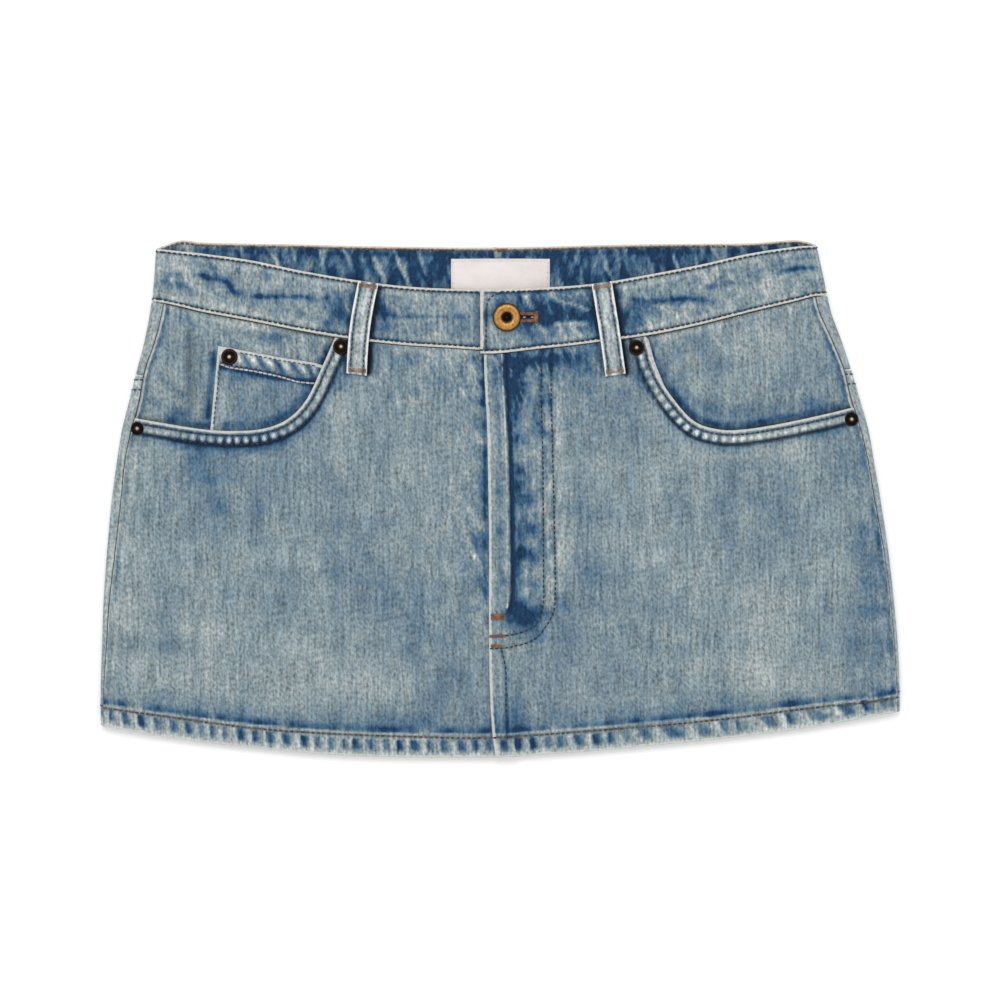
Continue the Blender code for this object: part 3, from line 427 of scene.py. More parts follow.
    def band_lap(self, x: Array) -> Array:
        """Extra height where the right end of the waistband lies on the left end."""
        return self.band_lap_rise * fall(self.band_lap_full, self.band_lap_end, x)

    def band(self, x: Array, y: Array, side: Side) -> Array:
        """Height of the front waistband."""
        inner = self.under_band(x, y)
        if side is Side.RIGHT:
            inner += self.band_lap(x)
        return self.over_fold(x, y, self.band_fold_radius, inner)

    def fly_lap(self, x: Array, y: Array) -> Array:
        """Extra height where the right front panel lies on the left one."""
        edge = self.fly_edge(y) + self.fly_underlap + self.layer_gap
        over_hem = fall(self.hem_depth, self.hem_fade, y - self.hem(x))
        rise = self.fly_lap_rise + self.hem_lap_rise * over_hem
        return rise * fall(0.0, self.fly_lap_fall, x - edge)

    def body(self, x: Array, y: Array, side: Side) -> Array:
        """Height of the front panels."""
        pocket = ease(72.0, 92.0, np.abs(x)) * ease(12.0, 36.0, y)
        hem = fall(self.hem_depth, self.hem_fade, y - self.hem(x))
        inner = self.panel_height + self.pocket_rise * pocket + self.hem_rise * hem
        seam = self.band_bottom(x)
        near = fall(0.0, self.band_blend, seam - y)
        lap = 0.0
        if side is Side.RIGHT:
            lap = lerp(self.fly_lap(x, y), self.band_lap(x), near)
        inner = lerp(inner, self.under_band(x, seam) - self.band_proud, near) + lap
        return self.over_fold(x, y, self.fold_radius, inner)

    def facing(self, x: Array, y: Array, side: Side) -> Array:
        """Height of a pocket facing, under the scooped edge and rising away from it."""
        drop = 3.0 if side is Side.LEFT else 1.6
        distance = self.mouths[side].nearest(x, y)[0]
        near = fall(0.0, 45.0, distance)
        return self.body(x, y, side) - lerp(1.0, drop, near)

    def coin(self, x: Array, y: Array, side: Side = Side.LEFT) -> Array:
        """Height of the coin pocket, a layer up from the left facing."""
        return self.facing(x, y, side) + self.denim_wall + self.layer_gap


# --------------------------------------------------------------------------------------
# Finishes
# --------------------------------------------------------------------------------------

def linear(srgb: Sequence[float]) -> tuple[float, float, float, float]:
    """Linear colour, with alpha, of an sRGB one given from 0 to 255."""
    def channel(value: float) -> float:
        """One channel made linear."""
        value = value / 255.0
        return value / 12.92 if value <= 0.04045 else ((value + 0.055) / 1.055) ** 2.4

    return (*[channel(v) for v in srgb], 1.0)


class NodeBench:
    """Small helper that lays out a material's nodes and links."""

    def __init__(self, name: str) -> None:
        """Start a material with its shader."""
        self.material = bpy.data.materials.new(name)
        self.material.use_nodes = True
        self.nodes = self.material.node_tree.nodes
        self.links = self.material.node_tree.links
        self.shader = self.nodes["Principled BSDF"]

    def add(self, kind: str, **settings: object) -> bpy.types.Node:
        """Add a node and set its properties."""
        node = self.nodes.new(kind)
        for key, value in settings.items():
            setattr(node, key, value)
        return node

    def link(self, source: object, target: object) -> None:
        """Join an output to an input."""
        self.links.new(source, target)

    def feed(self, value: object, socket: bpy.types.NodeSocket) -> None:
        """Set an input to a number, or link an output to it."""
        if isinstance(value, bpy.types.NodeSocket):
            self.link(value, socket)
        else:
            socket.default_value = value

    def maths(self, operation: str, *values: object) -> bpy.types.NodeSocket:
        """Arithmetic on numbers or outputs."""
        node = self.add("ShaderNodeMath", operation=operation)
        for value, socket in zip(values, node.inputs):
            self.feed(value, socket)
        return node.outputs[0]

    def swing(self, value: object, amount: object, base: object) -> bpy.types.NodeSocket:
        """Base plus an amount of noise that goes up and down about its middle."""
        return self.maths("MULTIPLY_ADD", self.maths("SUBTRACT", value, 0.5), amount, base)

    def surface(self, settings: dict) -> None:
        """Set the shader's inputs to numbers or outputs."""
        for label, value in settings.items():
            self.feed(value, self.shader.inputs[label])

    def noise(self, vector: object, scale: Sequence[float], detail: float = 2.0, rough: float = 0.5,
              shift: Sequence[float] = (0.0, 0.0, 0.0), turn: float = 0.0) -> bpy.types.NodeSocket:
        """Noise stretched by a scale along each axis, then turned by degrees."""
        mapping = self.add("ShaderNodeMapping", vector_type="TEXTURE")
        mapping.inputs["Scale"].default_value = [1.0 / value for value in scale]
        mapping.inputs["Location"].default_value = [37.0 * value for value in shift]
        mapping.inputs["Rotation"].default_value = (0.0, 0.0, math.radians(turn))
        self.link(vector, mapping.inputs["Vector"])
        node = self.add("ShaderNodeTexNoise", noise_dimensions="3D")
        node.inputs["Scale"].default_value = 1.0
        node.inputs["Detail"].default_value = detail
        node.inputs["Roughness"].default_value = rough
        self.link(mapping.outputs[0], node.inputs["Vector"])
        return node.outputs["Fac"]

    def blend(self, factor: object, first: object, second: object) -> bpy.types.NodeSocket:
        """Mix two colours."""
        node = self.add("ShaderNodeMix", data_type="RGBA")
        self.feed(factor, node.inputs["Factor"])
        self.feed(first, node.inputs["A"])
        self.feed(second, node.inputs["B"])
        return node.outputs["Result"]

    def ramp(self, value: object, stops: Sequence[tuple]) -> bpy.types.NodeSocket:
        """Colour looked up along a row of stops."""
        node = self.add("ShaderNodeValToRGB")
        elements = node.color_ramp.elements
        while len(elements) < len(stops):
            elements.new(0.5)
        for element, (place, colour) in zip(elements, stops):
            element.position = place
            element.color = linear(colour)
        self.link(value, node.inputs["Fac"])
        return node.outputs["Color"]

    def gate(self, value: object, start: float, end: float) -> bpy.types.NodeSocket:
        """0 before start and 1 after end, smoothly."""
        node = self.add("ShaderNodeMapRange", interpolation_type="SMOOTHSTEP")
        self.feed(value, node.inputs["Value"])
        node.inputs["From Min"].default_value = start
        node.inputs["From Max"].default_value = end
        return node.outputs["Result"]

    def attribute(self, name: str) -> bpy.types.NodeSocket:
        """A number kept on the mesh."""
        return self.add("ShaderNodeAttribute", attribute_name=name).outputs["Fac"]

    def bump(self, height: object, strength: float, distance: float) -> None:
        """Raise the surface by a height in metres times distance."""
        node = self.add("ShaderNodeBump")
        node.inputs["Strength"].default_value = strength
        node.inputs["Distance"].default_value = distance
        self.link(height, node.inputs["Height"])
        self.link(node.outputs["Normal"], self.shader.inputs["Normal"])


WASHED_INDIGO = (
    (0.0, (206, 209, 208)), (0.15, (181, 189, 190)), (0.30, (157, 166, 167)), (0.45, (135, 150, 155)),
    (0.60, (109, 129, 141)), (0.75, (77, 107, 131)), (0.88, (45, 82, 114)), (1.0, (17, 51, 84)),
)


@dataclass(frozen=True)
class DenimFinish:
    """Washed indigo twill: speckled grain and slubs, blotches and scuffs where it is worn."""

    name: str
    wash_attribute: str = "wash"
    shift: float = 0.0
    grain: float = 1.55
    slub: float = 1.25
    blotch: float = 0.50
    cloud: float = 0.40
    scuff: float = 0.30
    edge_width: float = 1.3
    edge_colour: tuple = (197, 198, 193)
    edge_amount: float = 0.9
    roughness: float = 0.92
    sheen: float = 0.08

    def material(self) -> bpy.types.Material:
        """Build the material."""
        bench = NodeBench(self.name)
        cloth = bench.add("ShaderNodeUVMap", uv_map="cloth").outputs[0]
        worn = bench.attribute("worn")
        grain = bench.noise(cloth, (0.68, 0.44, 1.0), 1.0, 0.5, (31.0, 4.0, 2.0), 13.0)
        slub = bench.noise(cloth, (0.62, 0.042, 1.0), 2.0, 0.5)
        light = bench.swing(slub, self.slub, bench.swing(grain, self.grain, 0.93))
        # The mesh's shade attribute darkens the colour: painted shade beside the belt loops, in stitched
        # rows, under edges and along folds.
        clear = bench.maths("SUBTRACT", 1.0, bench.attribute("grime"))
        shade = bench.add("ShaderNodeVectorMath", operation="SCALE")
        bench.link(bench.ramp(self.tone(bench, cloth, worn), WASHED_INDIGO), shade.inputs[0])
        bench.link(bench.maths("MULTIPLY", bench.maths("MAXIMUM", light, 0.25), clear), shade.inputs["Scale"])
        colour = shade.outputs[0]
        if self.edge_amount > 0.0:
            colour = self.worn_edge(bench, cloth, grain, colour)
        bench.surface({"Base Color": colour, "Roughness": self.roughness, "Specular IOR Level": 0.2,
                       "Sheen Weight": self.sheen, "Sheen Roughness": 0.6})
        relief = bench.maths("MULTIPLY_ADD", self.twill_line(bench, cloth), 0.3, slub)
        bench.bump(bench.maths("MULTIPLY_ADD", grain, 1.1, relief), 0.5, 0.0006)
        return bench.material

    def tone(self, bench: NodeBench, cloth: object, worn: object) -> bpy.types.NodeSocket:
        """Depth of the indigo: the wash, with blotches, and scuffs where the cloth is worn."""
        blotch = bench.noise(cloth, (0.19, 0.12, 1.0), 2.5, 0.55, (3.0, 8.0, 1.0), 12.0)
        cloud = bench.noise(cloth, (0.045, 0.03, 1.0), 2.0, 0.5, (7.0, 3.0, 5.0))
        uneven = bench.maths("MULTIPLY", bench.maths("ADD", worn, 0.35), self.blotch)
        tone = bench.maths("ADD", bench.attribute(self.wash_attribute), self.shift)
        tone = bench.swing(cloud, self.cloud, bench.swing(blotch, uneven, tone))
        amount = bench.maths("MULTIPLY", worn, self.scuff)
        for turn, shift, share in ((22.0, (5.0, 1.0, 4.0), 1.0), (-26.0, (2.0, 7.0, 9.0), 0.5)):
            streak = bench.noise(cloth, (0.27, 0.07, 1.0), 1.5, 0.5, shift, turn)
            pale = bench.maths("MULTIPLY", bench.gate(streak, 0.54, 0.74), amount)
            deep = bench.maths("MULTIPLY", bench.gate(streak, 0.46, 0.28), amount)
            tone = bench.maths("MULTIPLY_ADD", pale, -share, tone)
            tone = bench.maths("MULTIPLY_ADD", deep, 0.75 * share, tone)
        return tone

    def worn_edge(self, bench: NodeBench, cloth: object, grain: object,
                  colour: object) -> bpy.types.NodeSocket:
        """Bare cotton along a finished edge, ragged in width."""
        wobble = bench.noise(cloth, (0.22, 0.22, 1.0), 2.0, 0.5, (1.0, 9.0, 3.0))
        worn = bench.swing(wobble, 2.0, bench.attribute("edge"))
        inside = bench.gate(worn, self.edge_width - 0.45, self.edge_width + 0.45)
        amount = bench.maths("MULTIPLY", bench.maths("SUBTRACT", 1.0, inside), self.edge_amount)
        fray = bench.maths("MULTIPLY", amount, bench.maths("MULTIPLY_ADD", grain, 1.0, 0.45))
        return bench.blend(fray, colour, linear(self.edge_colour))

    @staticmethod
    def twill_line(bench: NodeBench, cloth: object) -> bpy.types.NodeSocket:
        """Fine diagonal ribs of the weave."""
        mapping = bench.add("ShaderNodeMapping")
        mapping.inputs["Rotation"].default_value = (0.0, 0.0, math.radians(-62.0))
        bench.link(cloth, mapping.inputs["Vector"])
        wave = bench.add("ShaderNodeTexWave", wave_type="BANDS", bands_direction="X")
        for label, value in (("Scale", 0.33), ("Distortion", 1.6), ("Detail", 1.0), ("Detail Scale", 0.8)):
            wave.inputs[label].default_value = value
        bench.link(mapping.outputs[0], wave.inputs["Vector"])
        return wave.outputs["Fac"]


@dataclass(frozen=True)
class ThreadFinish:
    """Sewing thread: a twisted strand, uneven in tone."""

    name: str
    colour: tuple
    pale: tuple
    roughness: float = 0.7

    def material(self) -> bpy.types.Material:
        """Build the material."""
        bench = NodeBench(self.name)
        place = bench.add("ShaderNodeTexCoord").outputs["Object"]
        patch = bench.noise(place, (300.0, 300.0, 300.0), 2.0, 0.6)
        strand = bench.noise(place, (2600.0, 2600.0, 2600.0), 1.0, 0.5, (0.03, 0.01, 0.08))
        tone = bench.gate(bench.maths("MULTIPLY_ADD", strand, 0.4, bench.maths("MULTIPLY", patch, 0.7)),
                          0.40, 0.75)
        colour = bench.blend(tone, linear(self.colour), linear(self.pale))
        bench.surface({"Base Color": colour, "Roughness": self.roughness, "Specular IOR Level": 0.3})
        bench.bump(strand, 0.4, 0.0002)
        return bench.material


class Thread(Enum):
    """The sewing threads."""

    NAVY = ThreadFinish("thread_navy", (14, 26, 38), (58, 70, 84))
    TAN = ThreadFinish("thread_tan", (104, 70, 50), (178, 122, 72))
    BROWN = ThreadFinish("thread_brown", (50, 44, 42), (118, 100, 86))
    COCOA = ThreadFinish("thread_cocoa", (104, 80, 64), (178, 148, 126))
    CREAM = ThreadFinish("thread_cream", (160, 156, 150), (204, 200, 192))
    WHITE = ThreadFinish("thread_white", (216, 212, 208), (238, 236, 232))


@dataclass(frozen=True)
class MetalFinish:
    """Aged turned metal: bright on worn ridges, dull and then black in the hollows."""

    name: str
    bright: tuple
    dull: tuple
    black: tuple
    roughness: float
    pitting: float

    def material(self) -> bpy.types.Material:
        """Build the material."""
        bench = NodeBench(self.name)
        place = bench.add("ShaderNodeTexCoord").outputs["Object"]
        stain = bench.noise(place, (520.0, 520.0, 520.0), 3.0, 0.6)
        speck = bench.noise(place, (1500.0, 1500.0, 1500.0), 2.0, 0.6, (0.05, 0.02, 0.01))
        hollow = bench.maths("MULTIPLY", bench.attribute("hollow"), 0.5)
        tone = bench.swing(speck, 0.5, bench.swing(stain, 0.55, hollow))
        colour = bench.ramp(tone, ((0.0, self.bright), (0.5, self.dull), (1.0, self.black)))
        rough = bench.maths("MULTIPLY_ADD", tone, 0.25, self.roughness)
        bench.surface({"Base Color": colour, "Metallic": 0.85, "Roughness": rough})
        bench.bump(bench.maths("MULTIPLY_ADD", speck, 0.6, stain), self.pitting, 0.0003)
        return bench.material


@dataclass(frozen=True)
class LabelFinish:
    """Bare woven label: smooth white satin with fine ribs and faint soiling."""

    name: str
    white: tuple
    soiled: tuple

    def material(self) -> bpy.types.Material:
        """Build the material."""
        bench = NodeBench(self.name)
        cloth = bench.add("ShaderNodeUVMap", uv_map="cloth").outputs[0]
        cloud = bench.noise(cloth, (0.09, 0.14, 1.0), 3.0, 0.6)
        rib = bench.noise(cloth, (0.5, 3.6, 1.0), 2.0, 0.6, (2.0, 6.0, 1.0))
        tone = bench.maths("MULTIPLY_ADD", rib, 0.4, bench.maths("MULTIPLY", cloud, 0.8))
        tone = bench.maths("ADD", tone, bench.attribute("wash"))
        colour = bench.blend(bench.gate(tone, 0.4, 1.15), linear(self.white), linear(self.soiled))
        bench.surface({"Base Color": colour, "Roughness": 0.75, "Sheen Weight": 0.15})
        bench.bump(rib, 0.35, 0.0003)
        return bench.material


class Finishes:
    """Every material, made once and shared."""

    def __init__(self) -> None:
        """Nothing is made until it is asked for."""
        self.made: dict[str, bpy.types.Material] = {}

    def get(self, finish: object) -> bpy.types.Material:
        """The material of a finish."""
        if finish.name not in self.made:
            self.made[finish.name] = finish.material()
        return self.made[finish.name]


# --------------------------------------------------------------------------------------
# Cloth grids and thread
# --------------------------------------------------------------------------------------

def stations(length: float, step: float, close_start: bool = True, close_end: bool = True) -> Array:
    """Shares 0 to 1 of a length, closer together near finished ends.

    Args:
        length: Length in millimetres.
        step: Usual spacing.
        close_start: Whether lines crowd towards the start.
        close_end: Whether lines crowd towards the end.

    Returns:
        Rising shares from 0 to 1.
    """
    close = [0.0, 0.15, 0.4, 0.8]
    start = close if close_start else [0.0]
    end = [length - d for d in reversed(close)] if close_end else [length]
    count = max(int(round((end[0] - start[-1]) / step)), 1)
    middle = np.linspace(start[-1], end[0], count + 1)[1:-1]
    return np.array([*start, *middle, *end]) / length


def rolled(edge: Array, radius: float) -> Array:
    """How far cloth drops as it rolls over at a finished edge."""
    inside = np.clip(radius - edge, 0.0, radius)
    return radius - np.sqrt(radius ** 2 - inside ** 2)


def coons(top: Array, bottom: Array, left: Array, right: Array, u: Array, v: Array) -> Array:
    """Plan patch between four edges.

    Args:
        top: Points along the top for each u.
        bottom: Points along the bottom for each u.
        left: Points down the left for each v.
        right: Points down the right for each v.
        u: Shares across.
        v: Shares down.

    Returns:
        Points with shape (rows, columns, 2).
    """
    uu, vv = u[None, :, None], v[:, None, None]
    straight = top[0] * (1 - uu) * (1 - vv) + top[-1] * uu * (1 - vv)
    straight = straight + bottom[0] * (1 - uu) * vv + bottom[-1] * uu * vv
    across = top[None] * (1 - vv) + bottom[None] * vv
    return across + left[:, None] * (1 - uu) + right[:, None] * uu - straight


def fixed_ends(points: Array, u: Array, start: Array, end: Array) -> Array:
    """An edge with its two ends moved to meet its neighbours."""
    return points + (start - points[0]) * (1.0 - u)[:, None] + (end - points[-1]) * u[:, None]


@dataclass
class ClothGrid:
    """A sheet of cloth as rows and columns of points, with what its finish reads."""

    name: str
    points: Array
    cloth: Array
    wash: Array
    edge: Array
    faces_up: bool = True
    wash_inside: Optional[Array] = None
    hole: Optional[Array] = None
    thick: Optional[Array] = None
    worn: object = 0.3
    # Painted shade: how far the finish darkens the colour where shade falls.
    grime: object = 0.0

    def normals(self) -> Array:
        """Unit outward normal at every point."""
        across, down = np.gradient(self.points, axis=1), np.gradient(self.points, axis=0)
        normal = np.cross(across, down)
        normal /= np.maximum(np.linalg.norm(normal, axis=-1, keepdims=True), 1e-9)
        wanted = 1.0 if self.faces_up else -1.0
        flat = np.abs(normal[..., 2]) > 0.8
        turned = np.mean(normal[..., 2][flat]) * wanted < 0.0
        return -normal if turned else normal

    def raise_by(self, relief: Array) -> None:
        """Move every point along its normal."""
        self.points = self.points + self.normals() * relief[..., None]

    def build(self, wall: float, outer: bpy.types.Material, inner: bpy.types.Material,
              thick_wall: Optional[float] = None) -> bpy.types.Object:
        """Make the piece: a mesh with its attributes, given its wall inwards.

        Args:
            wall: Thickness of the cloth.
            outer: Material of the outside.
            inner: Material of the inside.
            thick_wall: Thickness where thick is 1, such as a turned hem.

        Returns:
            The finished object, at the origin.
        """
        rows, cols = self.points.shape[:2]
        index = np.arange(rows * cols).reshape(rows, cols)
        quads = joined(index[:-1, :-1], index[:-1, 1:], index[1:, 1:], index[1:, :-1])
        across, down = np.gradient(self.points, axis=1), np.gradient(self.points, axis=0)
        if float((np.cross(across, down) * self.normals()).sum()) < 0.0:
            quads = quads[..., ::-1]
        if self.hole is not None:
            quads = quads[~self.hole]
        mesh = bpy.data.meshes.new(self.name)
        mesh.from_pydata((self.points.reshape(-1, 3) * MM).tolist(), [], quads.reshape(-1, 4).tolist())
        used = np.array([v for p in mesh.polygons for v in p.vertices])
        layer = mesh.uv_layers.new(name="cloth")
        layer.data.foreach_set("uv", self.cloth.reshape(-1, 2)[used].astype(np.float32).ravel())
        inside = self.wash if self.wash_inside is None else self.wash_inside
        kept = (("wash", self.wash), ("wash_inside", inside), ("edge", self.edge), ("worn", self.worn),
                ("grime", self.grime))
        for name, values in kept:
            data = mesh.attributes.new(name, "FLOAT", "POINT").data
            data.foreach_set("value", np.broadcast_to(values, (rows, cols)).astype(np.float32).ravel())
        mesh.materials.append(outer)
        mesh.materials.append(inner)
        mesh.shade_smooth()
        piece = bpy.data.objects.new(f"{self.name}_cloth", mesh)
        bpy.context.scene.collection.objects.link(piece)
        shell = piece.modifiers.new("wall", "SOLIDIFY")
        shell.thickness, shell.offset, shell.material_offset = wall * MM, -1.0, 1
        shell.use_even_offset = shell.use_quality_normals = True
        if thick_wall is not None:
            group = piece.vertex_groups.new(name="turned_hem")
            for k in np.flatnonzero(self.thick.ravel() > 0.0):
                group.add([int(k)], float(self.thick.ravel()[k]), "REPLACE")
            shell.thickness = thick_wall * MM
            shell.vertex_group = group.name
            shell.thickness_vertex_group = wall / thick_wall
        return piece


def declare(piece: bpy.types.Object, nodes: Sequence[str] = ()) -> bpy.types.Object:
    """Tie a finished piece to its body in the frame, and hide the CAD nodes it replaces."""
    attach(piece, BODY)
    if nodes:
        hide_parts(*nodes)
    LOG.info("%s: %d vertices", piece.name, len(piece.data.vertices))
    return piece


@dataclass(frozen=True)
class Row:
    """A row of stitches: points and outward normals, in millimetres."""

    points: Array
    normals: Array


@dataclass
class StitchMaker:
    """Lays stitches along rows with Geometry Nodes."""

    SIZES = ("Pitch", "Length", "Width", "Thickness", "Turn", "Jitter")
    # Each node of the tree: its name here, its type and its settings.
    NODES = (
        ("given", "NodeGroupInput", {}), ("result", "NodeGroupOutput", {}),
        ("curve", "GeometryNodeMeshToCurve", {}), ("spaced", "GeometryNodeResampleCurve", {"mode": "LENGTH"}),
        ("tangent", "GeometryNodeInputTangent", {}),
        ("up", "GeometryNodeInputNamedAttribute", {"data_type": "FLOAT_VECTOR"}),
        ("aim", "FunctionNodeAlignRotationToVector", {"axis": "X"}),
        ("stand", "FunctionNodeAlignRotationToVector", {"axis": "Z", "pivot_axis": "X"}),
        ("chance", "FunctionNodeRandomValue", {"data_type": "FLOAT"}),
        ("spin", "ShaderNodeMath", {"operation": "ADD"}),
        ("below", "ShaderNodeMath", {"operation": "MULTIPLY"}),
        ("angles", "ShaderNodeCombineXYZ", {}), ("size", "ShaderNodeCombineXYZ", {}),
        ("rotate", "FunctionNodeRotateRotation", {"rotation_space": "LOCAL"}),
        ("ball", "GeometryNodeMeshUVSphere", {}), ("place", "GeometryNodeInstanceOnPoints", {}),
        ("real", "GeometryNodeRealizeInstances", {}), ("smooth", "GeometryNodeSetShadeSmooth", {}),
        ("dress", "GeometryNodeSetMaterial", {}),
    )
    # Each link: from a node's output to a node's input.  A random number's lowest, highest
    # and result share their names with other types, so these go by their places.
    LINKS = (
        ("given", "Geometry", "curve", "Mesh"), ("curve", "Curve", "spaced", "Curve"),
        ("given", "Pitch", "spaced", "Length"), ("tangent", "Tangent", "aim", "Vector"),
        ("aim", "Rotation", "stand", "Rotation"), ("up", "Attribute", "stand", "Vector"),
        ("given", "Jitter", "below", 0), ("below", 0, "chance", 2), ("given", "Jitter", "chance", 3),
        ("given", "Seed", "chance", "Seed"), ("given", "Turn", "spin", 0), ("chance", 1, "spin", 1),
        ("spin", 0, "angles", "Z"), ("stand", "Rotation", "rotate", "Rotation"),
        ("angles", 0, "rotate", "Rotate By"), ("given", "Length", "size", "X"),
        ("given", "Width", "size", "Y"), ("given", "Thickness", "size", "Z"),
        ("spaced", "Curve", "place", "Points"), ("ball", "Mesh", "place", "Instance"),
        ("rotate", "Rotation", "place", "Rotation"), ("size", 0, "place", "Scale"),
        ("place", "Instances", "real", "Geometry"), ("real", "Geometry", "smooth", "Geometry"),
        ("smooth", "Geometry", "dress", "Geometry"), ("given", "Thread", "dress", "Material"),
        ("dress", "Geometry", "result", "Geometry"),
    )

    length: float = 1.9
    width: float = 0.62
    thickness: float = 0.5
    pitch: float = 2.6
    turn: float = 0.0
    jitter: float = 0.12
    seed: int = 11
    lift: float = 0.08

    def tree(self) -> bpy.types.GeometryNodeTree:
        """The node tree: resample each row, set a stitch on every point, make it real."""
        name = "stitch_rows"
        if name in bpy.data.node_groups:
            return bpy.data.node_groups[name]
        tree = bpy.data.node_groups.new(name, "GeometryNodeTree")
        sockets = [("Geometry", "Geometry"), *[(label, "Float") for label in self.SIZES],
                   ("Seed", "Int"), ("Thread", "Material")]
        for label, kind in sockets:
            tree.interface.new_socket(label, in_out="INPUT", socket_type=f"NodeSocket{kind}")
        tree.interface.new_socket("Geometry", in_out="OUTPUT", socket_type="NodeSocketGeometry")
        nodes = {}
        for name, kind, settings in self.NODES:
            nodes[name] = tree.nodes.new(kind)
            for key, value in settings.items():
                setattr(nodes[name], key, value)
        nodes["up"].inputs["Name"].default_value = "up"
        nodes["below"].inputs[1].default_value = -1.0
        for label, value in (("Segments", 6), ("Rings", 4), ("Radius", 0.5)):
            nodes["ball"].inputs[label].default_value = value
        for source, output, target, socket in self.LINKS:
            tree.links.new(nodes[source].outputs[output], nodes[target].inputs[socket])
        return tree

    def sew(self, name: str, rows: Sequence[Row], thread: bpy.types.Material) -> bpy.types.Object:
        """Turn rows into one mesh of stitches.

        Args:
            name: Name of the finished piece.
            rows: The rows to follow.
            thread: Material of the thread.

        Returns:
            The mesh object, at the origin, with no modifier left on it.
        """
        points, ups, edges = [], [], []
        for row in rows:
            first = len(points)
            placed = row.points + row.normals * self.lift
            points.extend((placed * MM).tolist())
            ups.extend(row.normals.tolist())
            edges.extend((first + k, first + k + 1) for k in range(len(placed) - 1))
        guide = bpy.data.meshes.new(name + "_rows")
        guide.from_pydata(points, edges, [])
        up = guide.attributes.new("up", "FLOAT_VECTOR", "POINT")
        up.data.foreach_set("vector", np.array(ups, np.float32).ravel())
        host = bpy.data.objects.new(name + "_rows", guide)
        bpy.context.scene.collection.objects.link(host)
        tree = self.tree()
        maker = host.modifiers.new("stitches", "NODES")
        maker.node_group = tree
        sizes = {"Pitch": self.pitch * MM, "Length": self.length * MM, "Width": self.width * MM,
                 "Thickness": self.thickness * MM, "Turn": self.turn, "Jitter": self.jitter,
                 "Seed": self.seed, "Thread": thread}
        for item in tree.interface.items_tree:
            if item.in_out == "INPUT" and item.name in sizes:
                maker[item.identifier] = sizes[item.name]
        bpy.context.view_layer.update()
        graph = bpy.context.evaluated_depsgraph_get()
        made = bpy.data.meshes.new_from_object(host.evaluated_get(graph))
        made.name = name
        bpy.data.objects.remove(host, do_unlink=True)
        bpy.data.meshes.remove(guide)
        piece = bpy.data.objects.new(name, made)
        bpy.context.scene.collection.objects.link(piece)
        return piece


@dataclass
class SewingBox:
    """Gathers rows by thread and style until they are sewn."""

    finishes: Finishes
    rows: dict = field(default_factory=dict)

    def add(self, host: str, thread: Thread, row: Row, style: str = "lock") -> None:
        """Keep a row for a host piece."""
        self.rows.setdefault((host, thread, style), []).append(row)

    def sew(self, host: str, slot: str) -> list:
        """Sew and declare every row kept for a host piece."""
        styles = {
            "lock": StitchMaker(length=2.4, width=1.0, thickness=0.6, pitch=3.05, lift=0.12),
            "fine": StitchMaker(length=2.1, width=0.7, thickness=0.45, pitch=2.85),
            "heavy": StitchMaker(length=2.6, width=1.3, thickness=0.7, pitch=3.2),
            "chain": StitchMaker(length=3.3, width=1.2, thickness=0.6, pitch=2.9),
            "bartack": StitchMaker(length=2.3, width=0.5, thickness=0.55, pitch=0.48,
                                   turn=math.radians(90.0), jitter=0.08, lift=0.15),
            "buttonhole": StitchMaker(length=2.5, width=0.55, thickness=0.8, pitch=0.6,
                                      turn=math.radians(90.0), jitter=0.06, lift=0.12),
        }
        made = []
        for (owner, thread, style), rows in self.rows.items():
            if owner != host:
                continue
            name = f"{host}_{style}_{thread.name.lower()}"
            piece = styles[style].sew(name, rows, self.finishes.get(thread.value))
            made.append(declare(piece))
        return made


def row_on(points: Array, height: Callable, up: float = 1.0, step: float = 0.8) -> Row:
    """A row of stitches on a height field."""
    x, y = points[:, 0], points[:, 1]
    z = height(x, y)
    rise_x = (height(x + step, y) - height(x - step, y)) / (2.0 * step)
    rise_y = (height(x, y + step) - height(x, y - step)) / (2.0 * step)
    normal = joined(-rise_x, -rise_y, np.ones_like(x)) * up
    normal /= np.linalg.norm(normal, axis=-1, keepdims=True)
    return Row(joined(x, y, z), normal)


def along(points: Sequence[tuple[float, float]], step: float = 1.3, smooth: bool = True) -> Array:
    """Evenly spaced points along a plan curve."""
    path = Path(points, smooth)
    return path.at(np.linspace(0.0, 1.0, max(int(path.length / step), 2) + 1))


PALE_REVERSE = DenimFinish("denim_reverse", "wash_inside", shift=-0.16, scuff=0.0, edge_amount=0.0)
BODY_DENIM = DenimFinish("denim_washed")
BAND_DENIM = DenimFinish("denim_band", blotch=0.62, edge_width=1.5, edge_colour=(206, 201, 191))
LOOP_DENIM = DenimFinish("denim_loop", scuff=0.2, edge_width=1.2, edge_colour=(224, 227, 226),
                         edge_amount=1.0)
BAND_REVERSE = DenimFinish("denim_band_inside", "wash_inside", scuff=0.30, blotch=0.55, edge_amount=0.6,
                           edge_width=1.0)


@dataclass
class SheetMaker:
    """What every cloth sub-assembly works with, and how it finishes a sheet."""

    form: Form
    finishes: Finishes
    box: SewingBox

    def sheet(self, grid: ClothGrid, flat: tuple, rests_on: Sequence[str] = (), slot: str = "denim",
              outer: object = BODY_DENIM, inner: object = PALE_REVERSE, wall: Optional[float] = None,
              thick_wall: Optional[float] = None, measured: bool = True) -> None:
        """Build a sheet and its threads, and tie them to the frame.

        Args:
            grid: The dressed grid, named as its CAD node.
            flat: Width and length that it was cut to, in metres; not used.
            rests_on: The pieces under it; not used.
            slot: Its finish slot; not used.
            outer: Finish of the outside.
            inner: Finish of the inside.
            wall: Thickness, the body denim's unless given.
            thick_wall: Thickness of its turned hem, if it has one.
            measured: Whether its flat area is given as measured; not used.
        """
        wall = self.form.denim_wall if wall is None else wall
        piece = grid.build(wall, self.finishes.get(outer), self.finishes.get(inner), thick_wall)
        declare(piece, [grid.name])
        threads = self.box.sew(grid.name, slot)
        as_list(rests_on)


